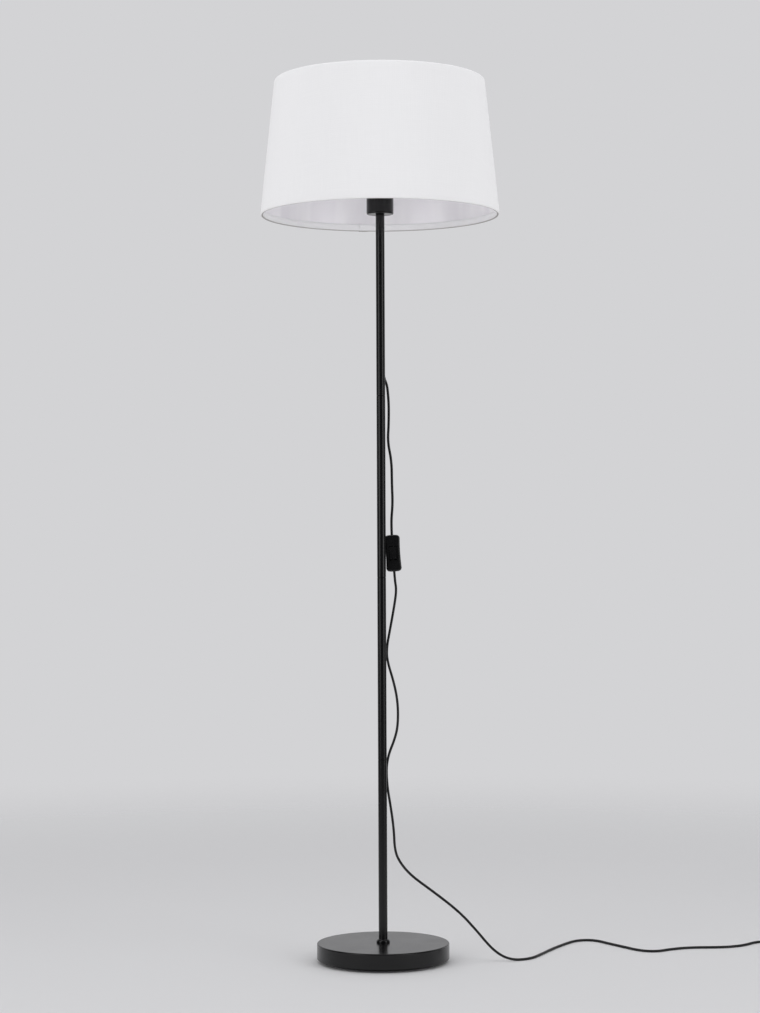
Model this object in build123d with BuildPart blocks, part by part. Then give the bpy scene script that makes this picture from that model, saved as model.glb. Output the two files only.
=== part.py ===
from build123d import *

import os
from math import atan2, cos, hypot, pi, radians, sin, tan

# A drum shade floor lamp: a weighted round base, a column of four screwed tubes, a screw
# lampholder in a black cup, a tapered cloth shade, and a lead with an in-line rocker switch.
# Millimetres, +Z up. The origin is on the floor under the column's axis, and -Y is the front,
# the side that the switch's rocker faces.

# Fits, all radial or face to face
thread_fit = 0.04  # screwed and pressed pairs
slip_fit = 0.1  # a part dropped over another
side_gap = 0.3  # parts that only stand beside each other

# Base
base_diameter = 225.0
base_height = 26.0  # of the cover
base_lift = 6.0  # the cover's lower edge above the floor
base_wall = 1.2
base_edge_radius = 2.0
foot_diameter = 196.0
foot_plate = 2.5
foot_rim = 18.0
foot_rib = 2.0
foot_setback = 1.0  # the weight's underside above the cover's edge
felt_thickness = 1.5
felt_width = 15.0
weight_plate = 12.0
weight_rim = 8.0
weight_hub_diameter = 52.0
weight_rib = 7.0
rib_count = 6
recess_diameter = 34.0
recess_depth = 11.0
foot_screw_count = 3
foot_screw_circle = 66.0  # radius
foot_screw_diameter = 4.0
foot_screw_length = 13.0
foot_screw_head = 8.0
foot_boss_diameter = 14.0

# Threaded rod of the base, and what tightens it
stud_diameter = 10.0
stud_reach = 15.0  # above the base, into the column
nut_flats = 14.0
nut_thickness = 5.0
washer_diameter = 26.0
washer_thickness = 1.6

# Column
pole_diameter = 15.0
pole_wall = 1.0
section_length = 310.0
section_count = 4
seam_chamfer = 0.6
bush_length = 18.0
bush_setback = 1.0
joint_thread_length = 14.0
joint_plug_length = 16.0
collar_diameter = 23.0
collar_height = 6.0
collar_lip = 1.0
collar_top_wall = 0.8

# Lead
cord_diameter = 4.4
bore_gap = 0.2  # radial, round the lead in its holes
arc_share = 0.45  # of the shorter run, used by each arc of a route
exit_rise = 42.0  # of the lead's way out, above the top section's lower end
exit_azimuth = 50.0  # degrees from +X towards +Y
exit_slope = 38.0  # degrees from straight down
exit_length = 15.7  # along the slope, from the axis to the grommet's mouth
grommet_wall = 0.8
grommet_inner_start = 8.0
grommet_flange = 3.9  # radius
grommet_flange_thickness = 0.8
grommet_taper = 0.4

# Lampholder
cup_diameter = 46.0
cup_height = 44.0
cup_wall = 0.8
cup_corner = 2.5
nipple_bore = 6.4
nipple_in_pole = 14.0
nipple_in_holder = 9.0
holder_diameter = 39.5
holder_height = 61.2  # from the cup's floor to the mouth
holder_wall = 2.0
cap_height = 25.0
cap_neck_diameter = 24.0
cap_overlap = 8.0
cap_diameter = 41.0
insulator_diameter = 30.0
insulator_thickness = 6.0
shell_bore = 26.6
shell_wall = 0.5
shell_neck = 1.5
shell_setback = 4.3  # below the holder's mouth
mouth_lip = 4.0
contact_width = 6.0
contact_thickness = 0.6
contact_rise = 5.0
terminal_size = 6.0
terminal_spacing = 13.0
terminal_screw_diameter = 3.0
terminal_screw_head = 4.8

# Shade
shade_bottom_diameter = 408.0
shade_top_diameter = 360.0
shade_height = 230.0
shade_drop = 2.0  # its lower edge below the column's end
fabric_thickness = 0.6
lining_thickness = 0.5
layer_gap = 0.1
hem_gap = 0.3  # between a wire and the cloth rolled round it
wire_diameter = 3.0
hem_height = 10.0
carrier_thickness = 2.0
carrier_diameter = 56.0
carrier_gap = 0.35
arm_count = 3
arm_start_angle = 90.0
arm_elbow_radius = 40.0  # from the axis
arm_bend = 12.0
notch_gap = 0.4
notch_start = 0.5
clamp_diameter = 53.0
clamp_height = 7.0
clamp_grips = 18
clamp_grip_radius = 1.2

# In-line switch
switch_length = 63.0
switch_width = 27.0
switch_thickness = 20.0
switch_waist = 1.2  # how far each side is drawn in
switch_end_crown = 1.5
switch_corner = 6.0
switch_edge = 3.0
switch_wall = 2.0
switch_centre = (19.7, 16.0, 693.5)
switch_tilt = 3.6  # degrees, its top end towards the column
switch_seam = 0.3  # chamfer along the split between its halves
cord_in_switch = 8.0
rocker_width = 12.0
rocker_end_radius = 11.8
rocker_tilt = 7.0  # degrees either side of level
rocker_level = 9.5  # its middle line above the split
rocker_end_rise = 0.9  # of what its tilt allows, so that its ends stay inside the round
pivot_level = 5.0
pivot_diameter = 3.0
pivot_stub = 1.7
ear_thickness = 2.0
ear_reach = 4.0
well_length = 36.0
well_width = 16.0
well_depth = 1.2
rocker_depth = 2.2  # below the pivot
bridge_length = 17.0
bridge_width = 4.0
bridge_thickness = 0.5
case_screw_diameter = 3.0
case_screw_head = 5.4
case_screw_length = 15.0
case_boss = 6.4
case_screw_x = 8.3
case_screw_y = 20.5
switch_terminal_y = 17.0
switch_terminal_x = 0.0
switch_block = 5.5
clamp_bar_length = 11.0
clamp_bar_width = 4.0
clamp_bar_thickness = 3.5
switch_run_above = 20.0  # straight, of the lead on its way into the switch
switch_run_below = 14.0

# Plug: flat two-pin
plug_width = 35.0
plug_length = 34.0
plug_end_width = 20.0
plug_corner = 5.0
plug_edge = 2.5
plug_floor_gap = 0.2
grip_count = 4  # grooves across each flat side
grip_length = 15.0
grip_width = 1.4
grip_pitch = 3.2
grip_depth = 0.6
grip_offset = 11.0  # of their middle, from the body's narrow end
pin_diameter = 4.0
pin_length = 19.0
pin_spacing = 18.6
pin_inset = 9.0
sleeve_length = 10.0
sleeve_wall = 0.35
relief_length = 28.0
relief_start_diameter = 9.0
relief_end_diameter = 6.0
relief_slots = 5
relief_slot_width = 1.4

# Coil of the lead that is put away
coil_centre = (717.0, 164.0)
coil_mean_diameter = 52.0
coil_turns = 3.389
coil_start_angle = 140.0  # degrees, and it winds clockwise seen from above
coil_pitch = 5.0  # turn beside turn
layer_pitch = 4.9  # turn above turn
floor_gap = 0.05  # under the lead
coil_lead = 10.0  # straight, before the first turn
coil_run = 16.0  # straight, of the lead that comes to it
plug_lead = 24.0
coil_reversal = 0.12  # of a turn, over which the spiral turns from inwards to outwards
coil_climb = 0.5  # of a turn either side of the middle, for the step up a layer
coil_step = 1e-4  # of a turn, for the lead's direction

# Levels
base_top = base_lift + base_height
cover_ceiling = base_top - base_wall
weight_bottom = base_lift + foot_setback
recess_top = weight_bottom + recess_depth
column_top = base_top + section_count * section_length
exit_height = base_top + (section_count - 1) * section_length + exit_rise
cup_floor = column_top + cup_wall
cup_top = column_top + cup_height
holder_mouth = cup_floor + holder_height
shade_bottom = column_top - shade_drop
shade_top = shade_bottom + shade_height

# Radii
base_radius = base_diameter / 2
pole_radius = pole_diameter / 2
pole_bore = pole_radius - pole_wall
stud_radius = stud_diameter / 2
cord_radius = cord_diameter / 2
cup_radius = cup_diameter / 2
holder_radius = holder_diameter / 2
wire_radius = wire_diameter / 2
weight_radius = base_radius - base_wall - side_gap

pieces = {}


def keep(name, builder):
    """Labels a finished piece and writes it to its own file."""
    builder.part.label = name
    export_step(builder.part, f"parts/{name}.step")
    pieces[name] = builder.part


os.makedirs("parts", exist_ok=True)


# Base

with BuildPart() as base_cover:
    with BuildSketch(Plane.XY.offset(base_lift)):
        Circle(base_radius)
    extrude(amount=base_height)
    fillet(base_cover.faces().sort_by(Axis.Z)[-1].edges(), base_edge_radius)
    offset(amount=-base_wall, openings=base_cover.faces().sort_by(Axis.Z)[0])
    with BuildSketch(Plane.XY.offset(cover_ceiling)):
        Circle(stud_radius + slip_fit)
    extrude(amount=base_wall, mode=Mode.SUBTRACT)
keep("base_cover", base_cover)

with BuildPart() as base_weight:
    with BuildSketch(Plane.XY.offset(weight_bottom)):
        Circle(weight_radius)
    extrude(amount=weight_plate)
    rib_length = weight_radius - weight_rim / 2 - weight_hub_diameter / 4
    with BuildSketch(Plane.XY.offset(weight_bottom + weight_plate)):
        Circle(weight_radius)
        Circle(weight_radius - weight_rim, mode=Mode.SUBTRACT)
        Circle(weight_hub_diameter / 2)
        with PolarLocations(weight_hub_diameter / 4 + rib_length / 2, rib_count):
            Rectangle(rib_length, weight_rib)
    extrude(amount=cover_ceiling - weight_bottom - weight_plate)
    rim_edge = base_weight.faces().sort_by(Axis.Z)[-1].outer_wire().edges()
    fillet(rim_edge, base_edge_radius)
    with BuildSketch(Plane.XY.offset(weight_bottom)):
        Circle(recess_diameter / 2)
    extrude(amount=recess_depth, mode=Mode.SUBTRACT)
    with BuildSketch(Plane.XY.offset(recess_top)):
        Circle(stud_radius + slip_fit)
    extrude(amount=cover_ceiling - recess_top, mode=Mode.SUBTRACT)
    with BuildSketch(Plane.XY.offset(weight_bottom)):
        with PolarLocations(foot_screw_circle, foot_screw_count):
            Circle(foot_screw_diameter / 2 + thread_fit)
    extrude(amount=weight_plate - base_wall, mode=Mode.SUBTRACT)
keep("base_weight", base_weight)

foot_radius = foot_diameter / 2
foot_rib_height = weight_bottom - foot_plate - felt_thickness
screw_mouth = felt_thickness + side_gap

with BuildPart() as screw_bore:
    with BuildSketch(Plane.XY.offset(felt_thickness)):
        Circle(foot_screw_head / 2 + side_gap)
    extrude(amount=side_gap)
    with BuildSketch(Plane.XY.offset(screw_mouth)):
        Circle(foot_screw_head / 2 + side_gap)
    extrude(amount=foot_screw_diameter / 2 + side_gap, taper=45)
    with BuildSketch(Plane.XY.offset(screw_mouth)):
        Circle(foot_screw_diameter / 2 + slip_fit)
    extrude(amount=weight_bottom - screw_mouth)

with BuildPart() as base_foot:
    with BuildSketch(Plane.XY.offset(weight_bottom - foot_plate)):
        Circle(foot_radius)
        Circle(recess_diameter / 2, mode=Mode.SUBTRACT)
    extrude(amount=foot_plate)
    hub_wall = recess_diameter / 2 + foot_rib
    foot_rib_length = foot_radius - foot_rim / 2 - recess_diameter / 2 - foot_rib / 2
    with BuildSketch(Plane.XY.offset(felt_thickness)):
        Circle(foot_radius)
        Circle(foot_radius - foot_rim, mode=Mode.SUBTRACT)
        Circle(hub_wall)
        with PolarLocations(hub_wall - foot_rib / 2 + foot_rib_length / 2, 2 * foot_screw_count):
            Rectangle(foot_rib_length, foot_rib)
        with PolarLocations(foot_screw_circle, foot_screw_count):
            Circle(foot_boss_diameter / 2)
        Circle(recess_diameter / 2, mode=Mode.SUBTRACT)
    extrude(amount=foot_rib_height)
    with PolarLocations(foot_screw_circle, foot_screw_count):
        add(screw_bore.part, mode=Mode.SUBTRACT)
    fillet(base_foot.faces().sort_by(Axis.Z)[0].outer_wire().edges(), felt_thickness / 2)
keep("base_foot", base_foot)

felt_outer = foot_radius - felt_thickness
with BuildPart() as base_felt_ring:
    with BuildSketch():
        Circle(felt_outer)
        Circle(felt_outer - felt_width, mode=Mode.SUBTRACT)
    extrude(amount=felt_thickness)
keep("base_felt_ring", base_felt_ring)

with BuildPart() as foot_screw:
    with BuildSketch(Plane.XZ):
        with BuildLine():
            Polyline(
                (0, screw_mouth),
                (foot_screw_head / 2, screw_mouth),
                (foot_screw_diameter / 2, screw_mouth + (foot_screw_head - foot_screw_diameter) / 2),
                (foot_screw_diameter / 2, screw_mouth + foot_screw_length),
                (0, screw_mouth + foot_screw_length),
                close=True,
            )
        make_face()
    revolve(axis=Axis.Z)

with BuildPart() as base_foot_screws:
    with PolarLocations(foot_screw_circle, foot_screw_count):
        add(foot_screw.part)
keep("base_foot_screws", base_foot_screws)

nut_top = recess_top - washer_thickness
with BuildPart() as base_washer:
    with BuildSketch(Plane.XY.offset(nut_top)):
        Circle(washer_diameter / 2)
        Circle(stud_radius + slip_fit, mode=Mode.SUBTRACT)
    extrude(amount=washer_thickness)
keep("base_washer", base_washer)

with BuildPart() as base_nut:
    with BuildSketch(Plane.XY.offset(nut_top - nut_thickness)):
        RegularPolygon(nut_flats / 2, 6, major_radius=False)
        Circle(stud_radius + thread_fit, mode=Mode.SUBTRACT)
    extrude(amount=nut_thickness)
keep("base_nut", base_nut)

stud_bottom = nut_top - nut_thickness - 1.5 * washer_thickness
with BuildPart() as base_stud:
    with BuildSketch(Plane.XY.offset(stud_bottom)):
        Circle(stud_radius)
    extrude(amount=base_top + stud_reach - stud_bottom)
    chamfer(base_stud.edges().filter_by(GeomType.CIRCLE), seam_chamfer)
keep("base_stud", base_stud)


# Column

with BuildPart() as pole_collar:
    with BuildSketch(Plane.XZ):
        with BuildLine():
            bore = pole_radius + slip_fit
            lip_top = (collar_diameter / 2, base_top + collar_lip)
            crest = (bore + collar_top_wall, base_top + collar_height)
            Polyline(crest, (bore, crest[1]), (bore, base_top), (lip_top[0], base_top), lip_top)
            SagittaArc(lip_top, crest, -(collar_height - collar_lip) / 5)
        make_face()
    revolve(axis=Axis.Z)
keep("pole_collar", pole_collar)

out_way = Vector(
    sin(radians(exit_slope)) * cos(radians(exit_azimuth)),
    sin(radians(exit_slope)) * sin(radians(exit_azimuth)),
    -cos(radians(exit_slope)),
)
exit_plane = Plane(
    origin=(0, 0, exit_height),
    x_dir=(-sin(radians(exit_azimuth)), cos(radians(exit_azimuth)), 0),
    z_dir=out_way,
)
grommet_radius = cord_radius + bore_gap + grommet_wall


def pole_section(number):
    """One tube of the column, with its ends eased so that a seam shows as a fine groove."""
    start = base_top + number * section_length
    with BuildPart() as tube:
        with BuildSketch(Plane.XY.offset(start)):
            Circle(pole_radius)
            Circle(pole_bore, mode=Mode.SUBTRACT)
        extrude(amount=section_length)
        rims = tube.edges().filter_by(GeomType.CIRCLE).group_by(SortBy.RADIUS)[-1]
        chamfer(rims, seam_chamfer)
        if number == section_count - 1:
            with BuildSketch(exit_plane):
                Circle(grommet_radius + thread_fit)
            extrude(amount=2 * exit_length, mode=Mode.SUBTRACT)
    return tube


for number in range(section_count):
    keep(f"pole_section_{number + 1}", pole_section(number))

bush_radius = pole_bore - thread_fit
with BuildPart() as bush:
    with BuildSketch():
        Circle(bush_radius)
        Circle(stud_radius + thread_fit, mode=Mode.SUBTRACT)
    extrude(amount=bush_length)

with BuildPart() as pole_bushes:
    with Locations((0, 0, base_top + bush_setback)):
        add(bush.part)
    for number in range(section_count):
        section_end = base_top + (number + 1) * section_length
        with Locations((0, 0, section_end - bush_setback - bush_length)):
            add(bush.part)
keep("pole_bushes", pole_bushes)

with BuildPart() as joint_stud:
    with BuildSketch(Plane.XY.offset(-joint_thread_length)):
        Circle(stud_radius)
    extrude(amount=joint_thread_length)
    with BuildSketch():
        Circle(bush_radius)
    extrude(amount=joint_plug_length)
    chamfer(joint_stud.edges().group_by(Axis.Z)[0], seam_chamfer)

with BuildPart() as pole_joint_studs:
    for number in range(1, section_count):
        with Locations((0, 0, base_top + number * section_length)):
            add(joint_stud.part)
keep("pole_joint_studs", pole_joint_studs)

with BuildPart() as cord_grommet:
    with BuildSketch(exit_plane):
        Circle(grommet_flange)
    extrude(amount=2 * exit_length)
    with BuildSketch(Plane.XY.offset(exit_height - 2 * exit_length)):
        Circle(pole_radius + thread_fit + grommet_flange_thickness)
        Circle(pole_radius + thread_fit, mode=Mode.SUBTRACT)
    extrude(amount=2 * exit_length, mode=Mode.INTERSECT)
    with BuildSketch(exit_plane.offset(grommet_inner_start)):
        Circle(grommet_radius)
    with BuildSketch(exit_plane.offset(exit_length)):
        Circle(grommet_radius - grommet_taper)
    loft()
    with BuildSketch(exit_plane):
        Circle(cord_radius + bore_gap)
    extrude(amount=2 * exit_length, mode=Mode.SUBTRACT)
keep("cord_grommet", cord_grommet)


# Lampholder

with BuildPart() as holder_nipple:
    with BuildSketch(Plane.XY.offset(column_top - nipple_in_pole)):
        Circle(stud_radius)
        Circle(nipple_bore / 2, mode=Mode.SUBTRACT)
    extrude(amount=nipple_in_pole + cup_wall + nipple_in_holder)
keep("holder_nipple", holder_nipple)

with BuildPart() as holder_cup:
    with BuildSketch(Plane.XY.offset(column_top)):
        Circle(cup_radius)
    extrude(amount=cup_height)
    fillet(holder_cup.faces().sort_by(Axis.Z)[0].edges(), cup_corner)
    offset(amount=-cup_wall, openings=holder_cup.faces().sort_by(Axis.Z)[-1])
    with BuildSketch(Plane.XY.offset(column_top)):
        Circle(stud_radius + slip_fit)
    extrude(amount=cup_wall, mode=Mode.SUBTRACT)
keep("holder_cup", holder_cup)

cap_top = cup_floor + cap_height
spigot_bottom = cap_top - cap_overlap
cap_radius = cap_diameter / 2
spigot_radius = cap_radius - holder_wall
insulator_top = cap_top + holder_wall
insulator_bottom = insulator_top - insulator_thickness
with BuildPart() as holder_cap:
    with BuildSketch(Plane.XZ):
        with BuildLine():
            neck = cap_neck_diameter / 2
            shoulder = cup_floor + nipple_in_holder
            Polyline(
                (stud_radius + thread_fit, cup_floor),
                (neck, cup_floor),
                (neck, cup_floor + holder_wall),
                (cap_radius, spigot_bottom - holder_wall),
                (cap_radius, cap_top),
                (spigot_radius, cap_top),
                (spigot_radius, spigot_bottom - holder_wall),
                (neck - holder_wall, shoulder),
                (stud_radius + thread_fit, shoulder),
                close=True,
            )
        make_face()
    revolve(axis=Axis.Z)
keep("holder_cap", holder_cap)

body_spigot = spigot_radius - thread_fit
ledge_radius = insulator_diameter / 2 - holder_wall
pocket_radius = insulator_diameter / 2 + slip_fit
mouth_radius = shell_bore / 2 + shell_wall + slip_fit
with BuildPart() as holder_body:
    with BuildSketch(Plane.XZ):
        with BuildLine():
            Polyline(
                (ledge_radius, spigot_bottom),
                (body_spigot, spigot_bottom),
                (body_spigot, cap_top),
                (holder_radius, cap_top),
                (holder_radius, holder_mouth),
                (mouth_radius, holder_mouth),
                (mouth_radius, holder_mouth - mouth_lip),
                (pocket_radius, holder_mouth - mouth_lip),
                (pocket_radius, insulator_bottom),
                (ledge_radius, insulator_bottom),
                close=True,
            )
        make_face()
    revolve(axis=Axis.Z)
keep("holder_body", holder_body)

with BuildPart() as holder_insulator:
    with BuildSketch(Plane.XY.offset(insulator_bottom)):
        Circle(insulator_diameter / 2)
    extrude(amount=insulator_thickness)
    chamfer(holder_insulator.edges(), seam_chamfer)
keep("holder_insulator", holder_insulator)

# The shell is drawn in at its foot, where the contact rises inside it.
shell_step = insulator_top + contact_rise + side_gap
shell_top = holder_mouth - shell_setback
with BuildPart() as holder_screw_shell:
    with BuildSketch(Plane.XY.offset(insulator_top)):
        Circle(shell_bore / 2 - shell_neck + shell_wall)
    extrude(amount=shell_step - insulator_top)
    with BuildSketch(Plane.XY.offset(shell_step)):
        Circle(shell_bore / 2 + shell_wall)
    extrude(amount=shell_top - shell_step)
    with BuildSketch(Plane.XY.offset(insulator_top)):
        Circle(shell_bore / 2 - shell_neck)
    extrude(amount=shell_top - insulator_top, mode=Mode.SUBTRACT)
    with BuildSketch(Plane.XY.offset(shell_step + shell_wall)):
        Circle(shell_bore / 2)
    extrude(amount=shell_top - shell_step - shell_wall, mode=Mode.SUBTRACT)
keep("holder_screw_shell", holder_screw_shell)

with BuildPart() as holder_centre_contact:
    reach = shell_bore / 3
    with BuildSketch(Plane.XZ.offset(-contact_width / 2)):
        with BuildLine():
            foot = insulator_top
            crest = insulator_top + contact_rise
            Polyline(
                (-reach, foot),
                (-reach / 3, foot),
                (reach / 3, crest - contact_thickness),
                (reach, crest - 2 * contact_thickness),
                (reach, crest - contact_thickness),
                (reach / 3, crest),
                (-reach / 3 - contact_thickness, foot + contact_thickness),
                (-reach, foot + contact_thickness),
                close=True,
            )
        make_face()
    extrude(amount=contact_width)
keep("holder_centre_contact", holder_centre_contact)

terminal_bottom = insulator_bottom - terminal_size
with BuildPart() as holder_terminals:
    with BuildSketch(Plane.XY.offset(terminal_bottom)):
        with GridLocations(terminal_spacing, 0, 2, 1):
            Rectangle(terminal_size, terminal_size)
            Circle(terminal_screw_diameter / 2 + thread_fit, mode=Mode.SUBTRACT)
    extrude(amount=terminal_size)
keep("holder_terminals", holder_terminals)

with BuildPart() as holder_terminal_screws:
    with BuildSketch(Plane.XY.offset(terminal_bottom - contact_thickness * 3)):
        with GridLocations(terminal_spacing, 0, 2, 1):
            Circle(terminal_screw_head / 2)
    extrude(amount=contact_thickness * 3)
    with BuildSketch(Plane.XY.offset(terminal_bottom)):
        with GridLocations(terminal_spacing, 0, 2, 1):
            Circle(terminal_screw_diameter / 2)
    extrude(amount=terminal_size - contact_thickness)
keep("holder_terminal_screws", holder_terminal_screws)

with BuildPart() as shade_clamp_ring:
    with BuildSketch(Plane.XY.offset(cup_top + carrier_thickness)):
        Circle(clamp_diameter / 2)
        Circle(holder_radius + thread_fit, mode=Mode.SUBTRACT)
        with PolarLocations(clamp_diameter / 2, clamp_grips):
            Circle(clamp_grip_radius, mode=Mode.SUBTRACT)
    extrude(amount=clamp_height)
keep("shade_clamp_ring", shade_clamp_ring)


# Shade. Its wall is drawn in a plane that leans with the wall: x goes inwards through the
# layers, and y runs up the slant from the lower wire's centre.

hem_radius = wire_radius + hem_gap + fabric_thickness
slant_run = (shade_bottom_diameter - shade_top_diameter) / 2
slant_rise = shade_height - 2 * hem_radius
slant_angle = atan2(slant_run, slant_rise)
slant_length = hypot(slant_run, slant_rise)
wall_foot = shade_bottom + hem_radius * (1 + sin(slant_angle))
wall_plane = Plane(
    origin=(shade_bottom_diameter / 2, 0, wall_foot),
    x_dir=(-cos(slant_angle), 0, -sin(slant_angle)),
    z_dir=(0, 1, 0),
)
lining_x = fabric_thickness + layer_gap
hem_x = lining_x + lining_thickness + layer_gap

wire_top = wall_plane.from_local_coords((hem_radius, slant_length))
arm_level = cup_top + carrier_thickness / 2
arm_way = Vector(arm_elbow_radius - wire_top.X, 0, arm_level - wire_top.Z).normalized()

arm_end = wire_top + arm_way * (wire_radius + thread_fit)

with BuildPart() as arm:
    with BuildLine() as arm_path:
        FilletPolyline(
            (carrier_diameter / 2, 0, arm_level),
            (arm_elbow_radius, 0, arm_level),
            (arm_end.X, 0, arm_end.Z),
            radius=arm_bend,
        )
    with BuildSketch(Plane(origin=arm_path.line @ 0, z_dir=arm_path.line % 0)):
        Circle(wire_radius)
    sweep()

with BuildPart() as arm_notch:
    with BuildSketch(Plane(origin=wire_top + arm_way * notch_start, z_dir=arm_way)):
        Circle(wire_radius + notch_gap)
    extrude(amount=4 * hem_radius)

with BuildPart() as shade_carrier:
    with BuildSketch(Plane.XY.offset(cup_top)):
        Circle(carrier_diameter / 2)
        Circle(holder_radius + carrier_gap, mode=Mode.SUBTRACT)
    extrude(amount=carrier_thickness)
keep("shade_carrier", shade_carrier)

with BuildPart() as shade_arms:
    with PolarLocations(0, arm_count, start_angle=arm_start_angle):
        add(arm.part)
keep("shade_arms", shade_arms)

with BuildPart() as shade_top_ring:
    with BuildSketch(wall_plane):
        with Locations((hem_radius, slant_length)):
            Circle(wire_radius)
    revolve(axis=Axis.Z)
keep("shade_top_ring", shade_top_ring)

with BuildPart() as shade_bottom_ring:
    with BuildSketch(wall_plane):
        with Locations((hem_radius, 0)):
            Circle(wire_radius)
    revolve(axis=Axis.Z)
keep("shade_bottom_ring", shade_bottom_ring)

with BuildPart() as shade_fabric:
    with BuildSketch(wall_plane):
        with BuildLine():
            outer = hem_radius
            inner = hem_radius - fabric_thickness
            top = slant_length
            Line((0, 0), (0, top))
            ThreePointArc((0, top), (outer, top + outer), (2 * outer, top))
            Polyline(
                (2 * outer, top),
                (hem_x + fabric_thickness, top - hem_height),
                (hem_x, top - hem_height),
                (outer + inner, top),
            )
            ThreePointArc((outer + inner, top), (outer, top + inner), (fabric_thickness, top))
            Line((fabric_thickness, top), (fabric_thickness, 0))
            ThreePointArc((fabric_thickness, 0), (outer, -inner), (outer + inner, 0))
            Polyline(
                (outer + inner, 0),
                (hem_x, hem_height),
                (hem_x + fabric_thickness, hem_height),
                (2 * outer, 0),
            )
            ThreePointArc((2 * outer, 0), (outer, -outer), (0, 0))
        make_face()
    revolve(axis=Axis.Z)
    with PolarLocations(0, arm_count, start_angle=arm_start_angle):
        add(arm_notch.part, mode=Mode.SUBTRACT)
keep("shade_fabric", shade_fabric)

with BuildPart() as shade_lining:
    with BuildSketch(wall_plane):
        with Locations((lining_x + lining_thickness / 2, slant_length / 2)):
            Rectangle(lining_thickness, slant_length - 2 * hem_radius)
    revolve(axis=Axis.Z)
keep("shade_lining", shade_lining)


# In-line switch. Its plane has x across the switch, y up its length and z out of its front,
# with the origin in the middle of the case, on the split between its halves.

tilt = radians(switch_tilt)
switch_plane = Plane(
    origin=switch_centre,
    x_dir=(cos(tilt), 0, sin(tilt)),
    z_dir=(0, -1, 0),
)
half_case = switch_thickness / 2
inside = half_case - switch_wall
entry_radius = cord_radius + bore_gap
entry_plane = Plane(
    origin=switch_plane.from_local_coords((0, -switch_length, 0)),
    x_dir=switch_plane.x_dir,
    z_dir=switch_plane.y_dir,
)


def case_shape(inset):
    """The case seen from the front: drawn in at the sides, crowned at the ends."""
    side = switch_width / 2 - inset
    end = switch_length / 2 - switch_end_crown - inset
    with BuildSketch() as shape:
        with BuildLine():
            SagittaArc((side, -end), (side, end), switch_waist)
            SagittaArc((side, end), (-side, end), -switch_end_crown)
            SagittaArc((-side, end), (-side, -end), switch_waist)
            SagittaArc((-side, -end), (side, -end), -switch_end_crown)
        make_face()
        fillet(shape.vertices(), switch_corner - inset)
    return shape.sketch


case_outline = case_shape(0)
case_inside = case_shape(switch_wall)
pivot_plane = Plane(
    origin=switch_plane.from_local_coords((0, 0, pivot_level)),
    x_dir=switch_plane.y_dir,
    z_dir=switch_plane.x_dir,
)
pivot_reach = rocker_width / 2 + side_gap + pivot_stub
clamp_y = switch_length / 2 - cord_in_switch + clamp_bar_width / 2
screw_places = [(case_screw_x, case_screw_y), (-case_screw_x, -case_screw_y)]
ear_x = rocker_width / 2 + side_gap + ear_thickness / 2

with BuildPart() as switch_cover:
    with BuildSketch(switch_plane):
        add(case_outline)
    extrude(amount=half_case)
    chamfer(switch_cover.faces().sort_by(Axis.Y)[-1].edges(), switch_seam)
    fillet(switch_cover.faces().sort_by(Axis.Y)[0].edges(), switch_edge)
    with BuildSketch(switch_plane):
        add(case_inside)
    extrude(amount=inside, mode=Mode.SUBTRACT)
    with BuildSketch(switch_plane.offset(half_case - well_depth)):
        SlotOverall(well_length, well_width, rotation=90)
    extrude(amount=well_depth, mode=Mode.SUBTRACT)
    with BuildSketch(switch_plane.offset(inside - switch_wall)):
        Rectangle(rocker_width + 2 * side_gap, 2 * (rocker_end_radius + side_gap))
    extrude(amount=3 * switch_wall, mode=Mode.SUBTRACT)
    with BuildSketch(switch_plane.offset(pivot_level - ear_reach / 2)):
        with Locations((ear_x, 0), (-ear_x, 0)):
            Rectangle(ear_thickness, 2 * ear_reach)
    extrude(amount=inside - pivot_level + ear_reach / 2)
    with BuildSketch(switch_plane):
        with Locations(*screw_places):
            Circle(case_boss / 2)
    extrude(amount=inside)
    with BuildSketch(switch_plane):
        with Locations(*screw_places):
            Circle(case_screw_diameter / 2 + thread_fit)
    extrude(amount=inside - side_gap, mode=Mode.SUBTRACT)
    with BuildSketch(pivot_plane):
        Circle(pivot_diameter / 2 + thread_fit)
    extrude(amount=pivot_reach + slip_fit, both=True, mode=Mode.SUBTRACT)
    with BuildSketch(entry_plane):
        Circle(entry_radius)
    extrude(amount=2 * switch_length, mode=Mode.SUBTRACT)
keep("switch_cover", switch_cover)

head_recess = switch_wall + contact_thickness
with BuildPart() as switch_base:
    with BuildSketch(switch_plane.offset(-half_case)):
        add(case_outline)
    extrude(amount=half_case)
    chamfer(switch_base.faces().sort_by(Axis.Y)[0].edges(), switch_seam)
    fillet(switch_base.faces().sort_by(Axis.Y)[-1].edges(), switch_edge)
    with BuildSketch(switch_plane.offset(-inside)):
        add(case_inside)
    extrude(amount=inside, mode=Mode.SUBTRACT)
    with BuildSketch(switch_plane.offset(-inside)):
        with Locations(*screw_places):
            Circle(case_boss / 2)
    extrude(amount=inside)
    with BuildSketch(switch_plane.offset(-inside)):
        with GridLocations(0, 2 * clamp_y, 1, 2):
            Rectangle(clamp_bar_length, clamp_bar_width)
    extrude(amount=inside - clamp_bar_thickness)
    with BuildSketch(switch_plane.offset(-half_case)):
        with Locations(*screw_places):
            Circle(case_screw_diameter / 2 + slip_fit)
    extrude(amount=half_case, mode=Mode.SUBTRACT)
    with BuildSketch(switch_plane.offset(-half_case)):
        with Locations(*screw_places):
            Circle(case_screw_head / 2 + slip_fit)
    extrude(amount=head_recess, mode=Mode.SUBTRACT)
    with BuildSketch(entry_plane):
        Circle(entry_radius)
    extrude(amount=2 * switch_length, mode=Mode.SUBTRACT)
keep("switch_base", switch_base)

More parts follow.
